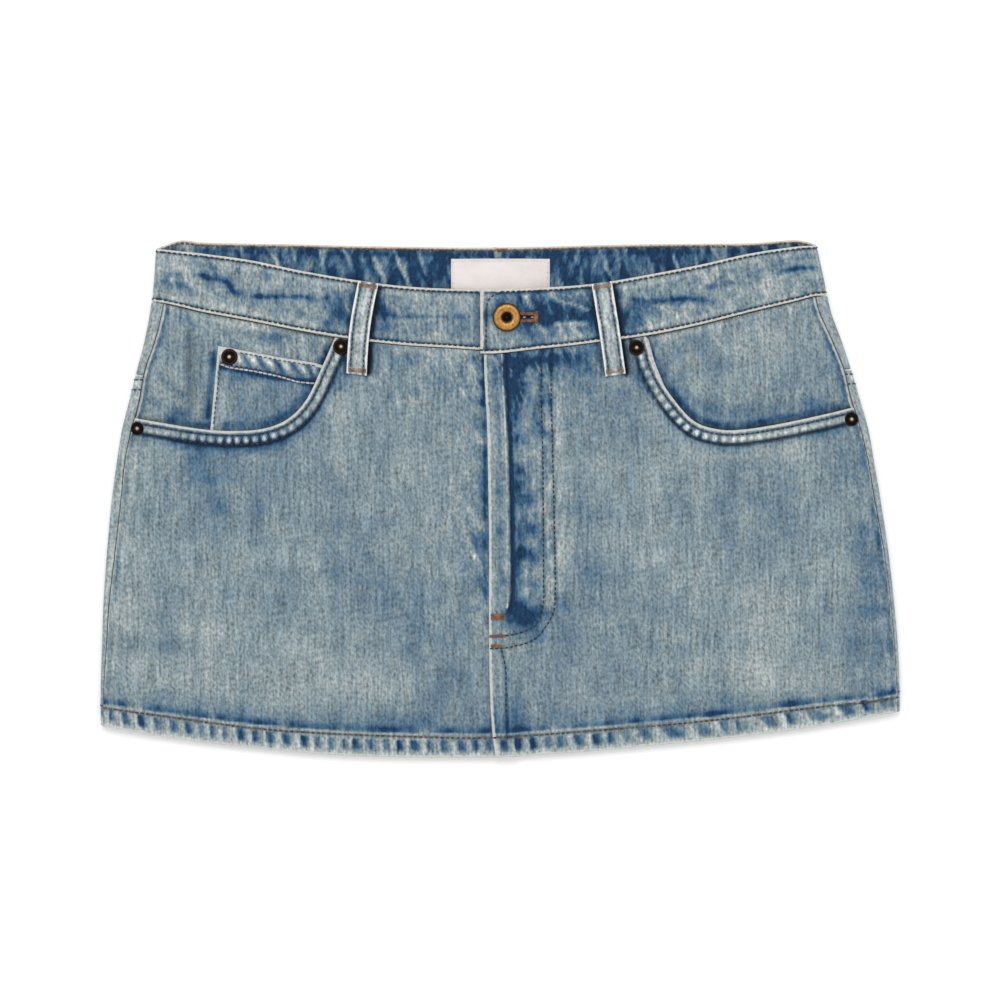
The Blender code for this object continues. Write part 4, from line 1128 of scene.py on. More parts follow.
@dataclass(frozen=True)
class HemRope:
    """The roped look of a turned hem: pale slanting ribs with deep blue between them."""

    near_period: float = 8.6
    far_period: float = 14.5
    near_slant: float = 0.15
    far_slant: float = 0.60
    change_from: float = 25.0
    change_to: float = 100.0
    seed: int = 39

    def pattern(self, x: Array, hem: Array) -> tuple[Array, Array]:
        """Ribs and hollows.

        Args:
            x: Places across.
            hem: Heights above the hem's edge.

        Returns:
            How far each place is on a pale rib, and in a dark hollow, from 0 to 1.
        """
        line = np.linspace(-260.0, 260.0, 521)
        period = lerp(self.near_period, self.far_period, ease(self.change_from, self.change_to, line))
        turns = np.concatenate([[0.0], np.cumsum(1.0 / period[1:])])
        slant = lerp(self.near_slant, self.far_slant, ease(self.change_from, self.change_to, x))
        noise = Noise(self.seed)
        phase = np.interp(x + slant * hem, line, turns) + 0.30 * noise.layered(x / 21.0, 3.0, 2)
        part = phase - np.floor(phase)
        strength = 0.78 + 0.40 * noise.at(x / 9.0, 8.0)
        window = ease(1.4, 3.4, hem) * fall(10.0, 11.6, hem) * strength
        rib = bell(part - 0.10, 0.10)
        hollow = ease(0.17, 0.30, part) * fall(0.45, 0.95, part)
        return rib * window, hollow * window


# --------------------------------------------------------------------------------------
# Front panels
# --------------------------------------------------------------------------------------

@dataclass
class FrontPanels(SheetMaker):
    """The two front panels: scooped pocket mouths, fly, topstitching and turned hem."""

    step: float = 1.35
    scoop_share: float = 0.5
    strip_share: float = 0.9
    hem_foot_x: float = 118.0
    first_row: float = 2.9
    second_row: float = 8.3
    base_wash: float = 0.50
    strip_width: float = 15.5
    strip_step: float = 1.2
    strip_inset: float = 26.0
    panel_length: float = 228.0
    inside_wash: float = 0.34
    weave_shift: float = 400.0
    flat: tuple = (0.2475, 0.2530)
    hem_row: tuple = (
        (-236.6, -125.3), (-233.6, -125.7), (-199, -130.6), (-151.9, -136.9), (-112.9, -140),
        (-57.7, -142.3), (-7.6, -143.1), (62.7, -138.4), (125.3, -132.9), (188.3, -125.1), (223, -121.5),
        (237.9, -118.9),
    )
    strip_ridge: tuple = (
        (1, 87.2), (1.6, 74.8), (2.1, 58.8), (3.2, 40.4), (3.7, 26.6), (4.4, 3.3), (4.6, -24.2),
        (5.2, -35.2), (4.9, -56.7), (4.1, -65.2),
    )
    inner_j: tuple = (
        (24.6, 89.5), (24.8, 54.1), (25.7, 21.7), (26, -40.7), (25.7, -64.1), (21.2, -75.9), (17.2, -78.1),
        (10.1, -80.8), (2.7, -81.8), (-5.2, -82.3),
    )
    outer_j: tuple = (
        (30.4, 90), (30.5, 76.9), (30.8, 54.1), (31.7, 21.7), (33, -40.7), (32.9, -58.7), (31.7, -68.9),
        (24.2, -80.8), (17.7, -85.6), (8.1, -88.3), (1.7, -89.3), (-5.2, -89.6),
    )
    second_front: tuple = ((1.2, -91.5), (2.1, -95.3), (3.5, -104.3), (3.5, -122.9), (4.4, -143.0))
    fly_tacks: tuple = (
        ((-5.4, -69.6), (2.6, -69.6)), ((-5.4, -71.6), (2.6, -71.6)),
        ((-6.2, -82.3), (2.8, -81.9)), ((-5.4, -88), (1, -88.2)),
    )
    rope: HemRope = HemRope()
    # Tone patches. The dark spots at x 207 to 232 between y -15 and 78 are painted shade down the right side,
    # and the dark trails just left of the fly edge (seeds 22, 23 and 131) are painted shadow of the lapped
    # right panel.
    shades: tuple = (
        Spot(60, 57, 16, 10, 0.09), Spot(0, 84, 9, 14, 0.12), Spot(-95, 75, 9, 9, 0.12),
        Spot(232, -15, 8, 12, 0.12), Spot(207, 75, 6, 8, 0.10), Spot(168, 32, 24, 9, -0.10),
        Spot(20, 62, 78, 26, 0.06), Spot(-144, 3, 12, 10, 0.08), Spot(0, -15, 9, 12, 0.07),
        Spot(92, 56, 8, 9, -0.07), Spot(234, -122, 8, 9, -0.07), Spot(-48, -141, 12, 6, -0.05),
        Spot(145, 30, 24, 8, -0.08), Spot(-180, -6, 12, 10, 0.10), Spot(-12, -8, 10, 14, 0.08),
        Spot(48, 76, 22, 16, 0.12), Spot(84, 48, 8, 14, 0.12), Spot(84, -136, 22, 8, 0.14),
        Spot(226, -124, 12, 10, 0.12), Spot(146, -112, 40, 8, -0.05), Spot(0, -97, 24, 12, 0.08),
        Spot(60, -76, 14, 20, 0.07), Spot(-196, -42, 22, 22, -0.06), Spot(-138, -116, 50, 8, -0.06),
        Spot(229, 5, 20, 90, 0.20), Spot(214, 78, 8, 22, 0.10), Spot(-60, -42, 22, 34, 0.09),
        Spot(-22, -112, 42, 24, 0.07), Spot(36, -78, 16, 28, 0.09), Spot(-155, -78, 24, 26, -0.08),
        Spot(150, -72, 34, 22, -0.07), Spot(152, 38, 24, 9, -0.13), Spot(180, -113, 12, 9, -0.14),
        Spot(-178, 18, 16, 26, 0.10), Spot(30, 88, 30, 12, 0.24), Spot(7, 80, 12, 12, 0.10),
        Trail(((10, 84), (10.5, 40), (10.8, 0), (11, -64)), 6, 0.15, 0.6, 21), Spot(12, 78, 5, 6, 0.10),
        Spot(10, 64, 5, 5, 0.12), Spot(12, 5.5, 6, 5, 0.16), Spot(16, -18, 7, 4.5, 0.34),
        Spot(15.5, -33, 7, 4.5, 0.34), Spot(15, -27, 6, 3, -0.16), Spot(9, -69, 8, 7, 0.34),
        Spot(20, -67, 7, 6, 0.36), Spot(15.5, -75, 9, 5, 0.16), Spot(13, -52, 9, 8, -0.10),
        Spot(10, 57, 5, 7, 0.12), Spot(14, -4, 4, 4, 0.20), Spot(27, 84, 26, 5, 0.22),
        Spot(14, 74, 6, 4, -0.14), Spot(7, -134, 9, 12, 0.2), Spot(-8, -139, 8, 6, 0.15),
        Spot(24, -147, 14, 4, 0.16),
        Trail(((-13, 92), (-12.5, 50), (-12, 4), (-11.5, -14)), 4.5, 0.10, 0.6, 22),
        Trail(((-11, -14), (-11, -60)), 3.5, 0.13, 0.5, 23), Spot(-16, -40, 8, 14, 0.04),
        Trail(((-186, 30), (-178, 12), (-165, -13)), 7, 0.12, 0.4, 24), Spot(-93, 0, 7, 15, 0.09),
        Spot(-75, -48, 16, 12, 0.09), Spot(-42, -88, 17, 26, 0.10), Spot(-96, 40, 6, 28, -0.12),
        Spot(40, -28, 5, 26, -0.09), Spot(48, 50, 6, 22, -0.10), Spot(-48, 8, 12, 38, -0.05),
        Spot(-138, -102, 66, 16, -0.08), Spot(-78, -113, 13, 9, -0.08), Spot(-225, -57, 12, 55, -0.08),
        Spot(90, 5, 30, 40, -0.03), Spot(171, -3, 38, 14, 0.06), Spot(63, -48, 26, 11, 0.09),
        Spot(157, -97, 32, 17, -0.08), Spot(213, -90, 20, 28, 0.06),
        Trail(((-200, 35.5), (-160, 31), (-128, 36), (-112, 54)), 3.6, 0.16, 0.5, 25),
        Trail(((112, 40), (130, 31.5), (168, 34.5), (208, 44)), 3.2, 0.08, 0.5, 26),
        Trail(((-19, 78), (-15, 66), (-12, 60)), 1.3, -0.26, 0.3, 27, 2),
        Trail(((-15.7, 41.5), (-9.9, 32.5)), 1.2, -0.30, 0.2, 28, 2),
        Trail(((-19.5, -3.5), (-14, -14), (-11, -19.5)), 1.3, -0.26, 0.2, 29, 2),
        Trail(((-17, -31), (-9, -43)), 1.2, -0.22, 0.2, 30, 2),
        Trail(((-21, -24), (-13, -38)), 1, -0.20, 0.2, 130, 2),
        Trail(((-10, 92), (-9.5, 50), (-9, 4), (-9, -62)), 1.5, 0.30, 0.9, 131),
        Trail(((-3, 84), (-2, 30), (-1.5, -60)), 4, 0.06, 0.5, 132), Spot(-1.3, 4.9, 2.2, 3, 0.2),
        Spot(-0.7, -19.1, 2.2, 3, 0.2), Spot(-221.8, 51.7, 3, 3, 0.2), Spot(-232.9, -27.2, 2, 5, 0.12),
        Spot(230.9, -22.1, 2, 5, 0.12),
    )
    creases: tuple = (
        Trail(((-70, 60), (-62, 10), (-66, -40)), 9, 0.30, 0.4, 41, 20),
        Trail(((-150, 20), (-142, -30), (-150, -80)), 12, 0.35, 0.4, 42, 20),
        Trail(((60, 60), (70, 0), (64, -60)), 10, 0.30, 0.4, 43, 20),
        Trail(((140, 30), (150, -20), (146, -90)), 12, 0.35, 0.4, 44, 20),
        Trail(((200, 20), (206, -40), (212, -90)), 8, 0.28, 0.4, 45, 20),
        Trail(((-205, 20), (-208, -40), (-212, -95)), 8, 0.28, 0.4, 46, 20), Spot(15.5, -18.5, 6, 6, 0.5),
        Spot(16, -34, 6, 6, 0.5), Spot(12, 5.5, 6, 6, 0.4), Spot(10.5, 64, 6, 6, 0.4),
        Spot(16, -72, 8, 6, -0.35),
    )

    def corner_x(self, side: Side) -> float:
        """Where the waist seam starts beside the scooped mouth."""
        return float(self.form.mouths[side].at(0.0)[0])

    def mouth_end(self, side: Side) -> float:
        """Share of the mouth's line at which it meets the panel's side."""
        share = np.linspace(0.8, 1.0, 801)
        line = self.form.mouths[side].at(share)
        reach = np.abs(self.form.side_seam(line[:, 1], side)) - self.form.shown_gap
        return float(share[np.argmin(np.abs(np.abs(line[:, 0]) - reach))])

    def front_x(self, y: Array, side: Side) -> Array:
        """The panel's edge at the centre front."""
        return self.form.fly_edge(y) + (self.form.fly_underlap if side is Side.LEFT else 0.0)

    def plan(self, side: Side, u: Array, v: Array) -> Array:
        """Plan of the panel: mouth and waist seam on top, side, front edge and hem."""
        form, outward = self.form, side.outward
        mouth = form.mouths[side]
        strip = form.fly_underlap + form.fly_lap_fall

        def across(start: float, edge: float) -> Array:
            """Places across at each share, from the mouth's corner to the front edge."""
            strip_x = edge + outward * strip
            first = lerp(start, strip_x, (u - self.scoop_share) / (self.strip_share - self.scoop_share))
            second = lerp(strip_x, edge, (u - self.strip_share) / (1.0 - self.strip_share))
            return np.where(u < self.strip_share, first, second)

        waist_x = across(self.corner_x(side), float(self.front_x(form.band_bottom(0.0), side)))
        waist = joined(waist_x, form.panel_top(waist_x, side))
        scoop = mouth.at(self.mouth_end(side) * (1.0 - u / self.scoop_share))
        top = np.where((u < self.scoop_share)[:, None], scoop, waist)
        side_hem = float(form.hem(outward * form.half_width))
        hem_side_x = float(form.side_seam(side_hem, side)) - outward * form.shown_gap
        hem_near = lerp(hem_side_x, outward * self.hem_foot_x, u / self.scoop_share)
        hem_far = across(outward * self.hem_foot_x, float(self.front_x(form.hem(0.0), side)))
        hem_x = np.where(u < self.scoop_share, hem_near, hem_far)
        bottom = joined(hem_x, form.hem(hem_x))
        side_y = lerp(scoop[0, 1], bottom[0, 1], v)
        outer = joined(form.side_seam(side_y, side) - outward * form.shown_gap, side_y)
        front_y = lerp(top[-1, 1], bottom[-1, 1], v)
        front = joined(self.front_x(front_y, side), front_y)
        top = fixed_ends(top, u, outer[0], front[0])
        return coons(top, bottom, outer, front, u, v)

    def edges(self, x: Array, y: Array, side: Side) -> dict:
        """Distances to the panel's finished edges."""
        form = self.form
        mouth, run, _ = form.mouths[side].nearest(x, y)
        found = {"mouth": mouth, "mouth_run": run, "hem": y - form.hem(x)}
        found["hem_row"] = y - Curve(self.hem_row)(x)
        found["side"] = np.abs(form.side_seam(y, side) - side.outward * form.shown_gap - x)
        found["front"] = np.abs(x - self.front_x(y, side))
        return found

    def relief(self, x: Array, y: Array, side: Side) -> Array:
        """How far the cloth stands above or below the form."""
        edges = self.edges(x, y, side)
        wide, fine = Noise(3), Noise(5)
        relief = 0.22 * wide.layered(x / 46.0, y / 70.0, 2)
        relief += 0.10 * fine.layered(x / 13.0, y / 22.0, 2)
        relief += total(self.creases, x, y)
        relief *= ease(1.0, 16.0, np.minimum(edges["side"], edges["hem"]))
        return relief + self.seam_relief(x, y, edges, side)

    def seam_relief(self, x: Array, y: Array, edges: dict, side: Side) -> Array:
        """Ridges, puckers and roping along the seams."""
        noise = Noise(8)
        mouth, run = edges["mouth"], edges["mouth_run"]
        ripple = 0.5 + 0.5 * np.sin(run * TAU / 5.2 + 2.0 * noise.at(run / 17.0, 0.3))
        relief = bell(mouth - 5.6, 2.2) * (0.12 + 0.38 * ripple)
        relief = relief - 0.16 * bell(mouth - self.first_row, 0.9) - 0.22 * bell(mouth - self.second_row, 1.1)
        rib, hollow = self.rope.pattern(x, edges["hem"])
        relief = relief + 0.40 * rib - 0.28 * hollow - 0.24 * bell(edges["hem_row"], 1.2)
        relief += 0.16 * bell(edges["hem_row"] - 2.6, 1.6)
        relief = relief + 0.20 * bell(edges["side"] - 1.0, 1.4) - 0.12 * bell(edges["side"] - 3.6, 1.3)
        if side is Side.RIGHT:
            relief += self.fly_relief(x, y)
        return relief

    def fly_relief(self, x: Array, y: Array) -> Array:
        """Ridges of the fly: its folded strip, the two curved rows and the lower seam."""
        strip, _, _ = Path(self.strip_ridge).nearest(x, y)
        inner, inner_run, _ = Path(self.inner_j).nearest(x, y)
        outer, _, _ = Path(self.outer_j).nearest(x, y)
        relief = 0.40 * bell(strip, 1.8) - 0.20 * bell(strip - 3.2, 1.4)
        relief = relief - 0.2 * bell(inner, 1.1) - 0.2 * bell(outer, 1.1)
        between = bell(inner + outer - 6.4, 1.6)
        ripple = 0.5 + 0.5 * np.sin(inner_run * TAU / 6.1)
        relief += between * (0.10 + 0.22 * ripple)
        lower, _, _ = Path(self.second_front).nearest(x, y)
        return relief - 0.18 * bell(lower, 1.1)

    def height(self, side: Side) -> Callable:
        """Height of the finished surface of a panel."""
        def at(x: Array, y: Array) -> Array:
            """Height at a place."""
            return self.form.body(x, y, side) + self.relief(x, y, side)
        return at

    def wash(self, x: Array, y: Array, side: Side) -> Array:
        """Depth of the indigo: 0 is bare cotton and 1 is unwashed."""
        edges = self.edges(x, y, side)
        cloudy, streaky, small = Noise(31), Noise(32), Noise(33)
        wash = self.base_wash + 0.035 * cloudy.layered(x / 55.0, y / 75.0, 3)
        wash += 0.040 * streaky.layered(x / 7.0, y / 42.0, 3)
        wash += 0.030 * small.layered(x / 5.0, y / 6.0, 2)
        low = fall(-60.0, 30.0, y)
        wash += (0.02 + 0.035 * low) * cloud(50, x / 62.0, y / 11.0, 3)
        # The belt-loop term is painted shadow beside the loops.
        wash = wash + total(self.shades, x, y) + 0.35 * self.form.loop_shadow(x, y)
        wash -= 0.10 * bell(self.form.panel_top(x, side) - y - 2.6, 1.3)
        return wash + self.seam_wash(x, y, edges, side)

    def seam_wash(self, x: Array, y: Array, edges: dict, side: Side) -> Array:
        """Wear along the seams: pale on what stands proud, dark in the hollows beside it."""
        noise = Noise(9)
        mouth, run = edges["mouth"], edges["mouth_run"]
        sway = 2.0 * noise.at(run / 17.0, 0.3)
        ripple = np.sin((run + 0.1 * mouth) * TAU / 5.2 + sway)
        curved = bell(x + 152.0, 34.0) if side is Side.LEFT else bell(x - 114.0, 24.0)
        uneven = 0.12 + 0.60 * curved * (1.0 + 0.4 * noise.layered(run / 9.0, 4.5, 2))
        wash = bell(mouth - 5.9, 2.1) * (-0.24 + 0.20 * curved - uneven * ripple)
        wash += 0.30 * bell(mouth - self.first_row, 0.9)
        wash += 0.46 * bell(mouth - self.second_row - 0.4, 1.3)
        wash += 0.10 * bell(mouth - self.second_row - 3.0, 2.2)
        hem, row = edges["hem"], edges["hem_row"]
        rib, hollow = self.rope.pattern(x, hem)
        inside = fall(-1.5, 0.5, row)
        high = ease(1.5, 5.5, hem)
        wash = wash - 0.18 * rib + 0.70 * hollow * high - 0.15 * inside - 0.12 * bell(hem - 1.2, 2.2)
        halo = ease(1.8, 3.0, row) * fall(3.0, 8.5, row)
        patchy = noise.layered(x / 11.0, 0.4, 3)
        wash += halo * (0.30 + 0.30 * patchy)
        wash = wash + 0.10 * bell(row - 9.0, 6.0) - 0.26 * bell(row - 1.5, 0.9)
        wash = wash + 0.08 * bell(edges["side"] - 2.6, 0.9) - 0.08 * bell(edges["side"] - 5.0, 2.0)
        if side is Side.RIGHT:
            wash += self.fly_wash(x, y)
        return wash

    def row_painted_shade(self, x: Array, y: Array, edges: dict, side: Side) -> Array:
        """Painted shade in the hollow of each stitched row, and beside the fly's folded strip."""
        mouth = edges["mouth"]
        grime = 0.50 * bell(mouth - self.first_row, 0.9) + 0.80 * bell(mouth - self.second_row - 0.2, 1.3)
        grime += 0.50 * bell(edges["hem_row"], 1.0)
        if side is Side.RIGHT:
            ridge_left = Path(self.strip_ridge).nearest(x, y)[2]
            grime += 0.55 * bell(ridge_left - 2.0, 1.1) * ease(-70.0, -64.0, y)
            for line in (self.inner_j, self.outer_j, self.second_front):
                grime += 0.22 * bell(Path(line).nearest(x, y)[0], 0.9)
        return grime

    def wear(self, x: Array, y: Array, side: Side) -> Array:
        """How strongly the cloth is blotched and scuffed."""
        edges = self.edges(x, y, side)
        below_band = self.form.panel_top(x, side) - y
        wear = 0.12 + 0.60 * fall(8.0, 50.0, below_band) * (0.6 + 0.4 * bell(x, 90.0))
        wear += 0.60 * bell(x - 2.0, 26.0) * ease(-105.0, -60.0, y)
        wear += 0.20 * fall(8.0, 20.0, edges["hem"])
        if side is Side.RIGHT:
            wear -= 0.50 * bell(edges["front"] - 5.0, 5.0) * ease(-70.0, -62.0, y)
        return np.minimum(wear + 0.3 * bell(edges["side"], 9.0), 1.25)

    def fly_wash(self, x: Array, y: Array) -> Array:
        """Wear of the fly, and painted shadow beside its folded strip."""
        noise = Noise(10)
        strip, strip_run, strip_left = Path(self.strip_ridge).nearest(x, y)
        inner, inner_run, _ = Path(self.inner_j).nearest(x, y)
        outer = Path(self.outer_j).nearest(x, y)[0]
        inside = ease(-70.0, -64.0, y)
        patchy = noise.layered(strip_run / 8.0, 0.5)
        wash = -0.10 * bell(strip, 1.5) * (1.0 + 0.6 * patchy) * inside
        # Painted shadow in the step beside the folded strip's ridge, dark and then fading.
        wash += 0.60 * bell(strip_left - 2.6, 1.5) * inside
        wash += 0.10 * bell(strip_left - 6.0, 3.0) * inside
        across = x - self.form.fly_edge(y)
        wash -= 0.12 * bell(across - 3.6, 1.4) * inside
        wash += 0.06 * bell(across - 6.8, 2.0) * inside * (1.0 + patchy)
        between = bell(inner + outer - 6.4, 1.6)
        blot = noise.layered(inner_run / 4.5, inner / 3.0, 2)
        straight = ease(-76.0, -60.0, y)
        wash += between * (0.26 * blot - 0.06) * straight
        wash += (0.05 + 0.13 * straight) * (bell(inner, 1.0) + bell(outer, 1.0))
        inset = ease(4.0, 7.0, strip_left) * ease(-1.0, 3.0, 26.0 - x) * straight
        wash += inset * (0.07 + 0.20 * noise.layered(x / 5.0, y / 9.0, 3))
        wash -= 0.14 * bell(x - 35.6, 2.6) * ease(-64.0, -50.0, y) * (1.0 + 0.6 * patchy)
        lower, _, _ = Path(self.second_front).nearest(x, y)
        return wash + 0.16 * bell(lower, 1.3) - 0.08 * bell(lower - 3.0, 1.6)

    def grid(self, side: Side) -> ClothGrid:
        """One panel as a dressed grid."""
        form = self.form
        side_u = stations(form.mouths[side].length, self.step, True, False) * self.scoop_share
        waist_share = self.strip_share - self.scoop_share
        waist_length = abs(self.corner_x(side)) - self.strip_inset
        waist_u = self.scoop_share + stations(waist_length, self.step, False, False) * waist_share
        strip_share = stations(self.strip_width, self.strip_step, False, True)
        strip_u = self.strip_share + strip_share * (1.0 - self.strip_share)
        u = np.concatenate([side_u, waist_u[1:], strip_u[1:]])
        v = stations(self.panel_length, self.step)
        plan = self.plan(side, u, v)
        x, y = plan[..., 0], plan[..., 1]
        edges = self.edges(x, y, side)
        hem_edge = np.maximum(edges["hem"], 0.0)
        finished = np.minimum(np.minimum(edges["mouth"] - 0.1, edges["side"] + 1.0), hem_edge)
        if side is Side.RIGHT:
            ridge = Path(self.strip_ridge).nearest(x, y)[0]
            finished = np.minimum(np.minimum(finished, edges["front"] - 0.4), ridge + 1.05)
        points = joined(x, y, form.body(x, y, side))
        grid = ClothGrid(f"front_panel_{side.value}", points, plan.copy(), self.wash(x, y, side), finished)
        grid.cloth[..., 0] += self.weave_shift * side.outward
        grid.worn = self.wear(x, y, side)
        # Painted shade beside the belt loops and in the hollow of the stitched rows.
        grid.grime = 0.85 * form.loop_shadow(x, y) + self.row_painted_shade(x, y, edges, side)
        grid.thick = fall(form.hem_depth - 0.6, form.hem_depth + 0.6, edges["hem"])
        grid.wash_inside = self.inside_wash + 0.05 * cloud(71, x / 20.0, y / 40.0)
        rim = np.minimum(np.minimum(edges["mouth"], edges["side"]), hem_edge)
        if side is Side.RIGHT:
            rim = np.minimum(rim, edges["front"])
        grid.raise_by(self.relief(x, y, side) - rolled(rim, 0.45))
        return grid

    def stitch(self, side: Side) -> None:
        """Rows of stitches on one panel."""
        form, host = self.form, f"front_panel_{side.value}"
        height, mouth = self.height(side), form.mouths[side]
        share = np.linspace(0.004, 0.997, 110)
        for distance in (self.first_row, self.second_row):
            line = mouth.side_step(share, np.full(share.shape, -side.outward * distance))
            top = form.panel_top(line[:, 0], side) - 0.6
            reach = np.abs(form.side_seam(line[:, 1], side)) - 1.5
            inside = (line[:, 1] < top) & (np.abs(line[:, 0]) < reach)
            self.box.add(host, Thread.NAVY, row_on(line[inside], height))
        hem = along(self.hem_row)
        edge = form.fly_edge(hem[:, 1])
        kept = hem[hem[:, 0] < edge - 0.5] if side is Side.LEFT else hem[hem[:, 0] > edge + 0.8]
        self.box.add(host, Thread.BROWN, row_on(kept, height), "heavy")
        if side is Side.RIGHT:
            for points in (self.inner_j, self.outer_j, self.second_front):
                self.box.add(host, Thread.NAVY, row_on(along(points), height))
            for ends in self.fly_tacks:
                self.box.add(host, Thread.TAN, row_on(along(ends, 0.8, False), height), "bartack")

    def build(self) -> None:
        """Make both panels and their stitching."""
        for side in Side:
            self.stitch(side)
            self.sheet(self.grid(side), self.flat, ["back_panel_left", "back_panel_right"],
                       thick_wall=self.form.hem_wall)


# --------------------------------------------------------------------------------------
# Pocket facings and coin pocket
# --------------------------------------------------------------------------------------

@dataclass
class PocketPieces(SheetMaker):
    """What shows inside the scooped mouths: two facings and the coin pocket."""

    step: float = 1.4
    facing_tuck: float = 6.0
    coin_tuck: float = 4.0
    facing_bend: float = 0.40
    coin_bend: float = 0.33
    coin_start: float = 0.12
    coin_end: float = 0.64
    side_gap: float = 0.45
    facing_width: float = 130.0
    facing_depth: float = 86.0
    facing_shift: float = 1100.0
    coin_width: float = 72.0
    coin_depth: float = 50.0
    coin_step: float = 1.2
    coin_shift: float = 1700.0
    coin_top: tuple = ((-169.0, 91.9), (-131.5, 85.0), (-110.5, 81.7))
    coin_foot: tuple = (-174.4, 37.5)
    facing_flats: dict = field(default_factory=lambda: {
        Side.LEFT: (0.130, 0.088), Side.RIGHT: (0.134, 0.092)})
    coin_flat: tuple = (0.074, 0.060)
    coin_row: tuple = (
        (-166.4, 80.4), (-161.8, 78.8), (-148, 76.7), (-132.8, 73.6), (-121.8, 70.5), (-112.6, 69.5),
    )
    coin_edge_row: tuple = ((-155, 87.6), (-131.9, 83.3), (-112, 80.2))
    coin_side_row: tuple = ((-168, 78), (-171.8, 46))
    # Painted shade just under each scooped mouth's edge.
    mouth_painted_shade: dict = field(default_factory=lambda: {Side.LEFT: 0.45, Side.RIGHT: 0.75})
    # Painted shade along the left facing's upright fold.
    fold_painted_shade: tuple = (
        Trail(((-189, 106), (-186, 92), (-185, 70), (-185.6, 46)), 2.6, 0.30, 0.4, 51, 8),
        Trail(((-189, 106), (-186.5, 92), (-186, 70), (-186.6, 46)), 6, 0.08, 0.4, 151, 8),
    )
    # Tone patches. The dark trail at x -171 to -176 is painted shadow of the coin pocket's left edge, the
    # trails along the mouth (seeds 56 and 156) are painted shade under its edge, the pale trail at x -183 is
    # a painted highlight on the upright fold and the dark one at x -187 is its painted shade.
    left_shades: tuple = (
        Spot(-204, 65, 10, 12, -0.10), Spot(-196, 92, 14, 22, -0.04), Spot(-172, 84, 5, 12, 0.16),
        Trail(((-171.4, 91), (-173.6, 70), (-175.8, 46)), 1.7, 0.40, 0.3, 57, 4),
        Spot(-190, 108, 4, 6, 0.20), Spot(-206, 98, 5, 14, 0.14), Spot(-152, 104, 20, 3.5, -0.20),
        Spot(-158, 97, 14, 3, -0.14), Spot(-138, 98, 22, 4, 0.18), Spot(-181, 100, 6, 4, -0.12),
        Spot(-110, 88, 8, 8, 0.16), Trail(((-212, 62), (-200, 54), (-186, 50)), 3, 0.25, 0.5, 52, 3),
        Trail(((-206, 76), (-196, 66), (-188, 60)), 2.6, 0.16, 0.5, 53, 3),
        Trail(((-183.1, 104.5), (-183.6, 70), (-182.6, 40)), 3, -0.08, 0.5, 54, 8),
        Trail(((-186.8, 104), (-187, 72), (-186.4, 44)), 2.4, 0.10, 0.5, 55, 8), Trail(((-100, 97),
        (-108, 78), (-117, 61), (-128, 50.5), (-142, 44.5), (-160, 43.2), (-180, 44.4), (-204, 48.6)),
        2.4, 0.36, 0.3, 56), Trail(((-112, 84), (-120, 66), (-134, 53), (-160, 48), (-200, 53)),
        6, 0.14, 0.4, 156),
    )
    # Tone patches; the trails along the mouth (seeds 57 and 157) are painted shade under its edge.
    right_shades: tuple = (
        Spot(192, 92, 12, 9, -0.06), Spot(159, 96, 26, 13, -0.10), Spot(120, 88, 18, 14, -0.02),
        Spot(200, 80, 10, 20, 0.06), Trail(((88.5, 98), (95.5, 78), (105.5, 61.5), (118, 49), (131.5, 44.6),
        (147, 44.6), (168, 48.2), (196, 54), (210, 57.6)), 2.4, 0.36, 0.35, 57), Trail(((96, 92), (103, 74),
        (116, 58), (140, 51), (170, 54), (204, 62)), 5, 0.15, 0.4, 157),
        Trail(((160.1, 89.5), (160.1, 65.5)), 0.9, -0.20, 0.3, 59, 4),
        Trail(((110, 100), (126, 86), (140, 78)), 5, 0.07, 0.5, 60, 8),
    )
    # Tone patches; the trail along the mouth (seed 61) is painted shade under its edge.
    coin_shades: tuple = (
        Spot(-132, 80, 24, 5, 0.12), Spot(-162, 85, 7, 5.5, -0.40), Spot(-150, 73, 16, 2.4, 0.16),
        Spot(-162, 60, 3, 10, -0.12), Spot(-136, 74, 30, 12, 0.08), Spot(-140, 78, 30, 3, 0.05),
        Spot(-125, 60, 14, 12, 0.10), Spot(-160, 56, 10, 14, 0.05), Trail(((-104, 88), (-112, 72),
        (-119, 60), (-130, 50), (-144, 44.8), (-172, 44.4)), 3, 0.25, 0.35, 61),
    )

    def tucked(self, side: Side, tuck: float, bend: float, start: float, end: float,
               t: Array) -> tuple[Array, Array]:
        """The two edges under a scooped mouth: down to its bend, and on to the side."""
        mouth = self.form.mouths[side]
        distance = np.full(t.shape, -side.outward * tuck)
        return mouth.side_step(lerp(start, bend, t), distance), mouth.side_step(lerp(end, bend, t), distance)

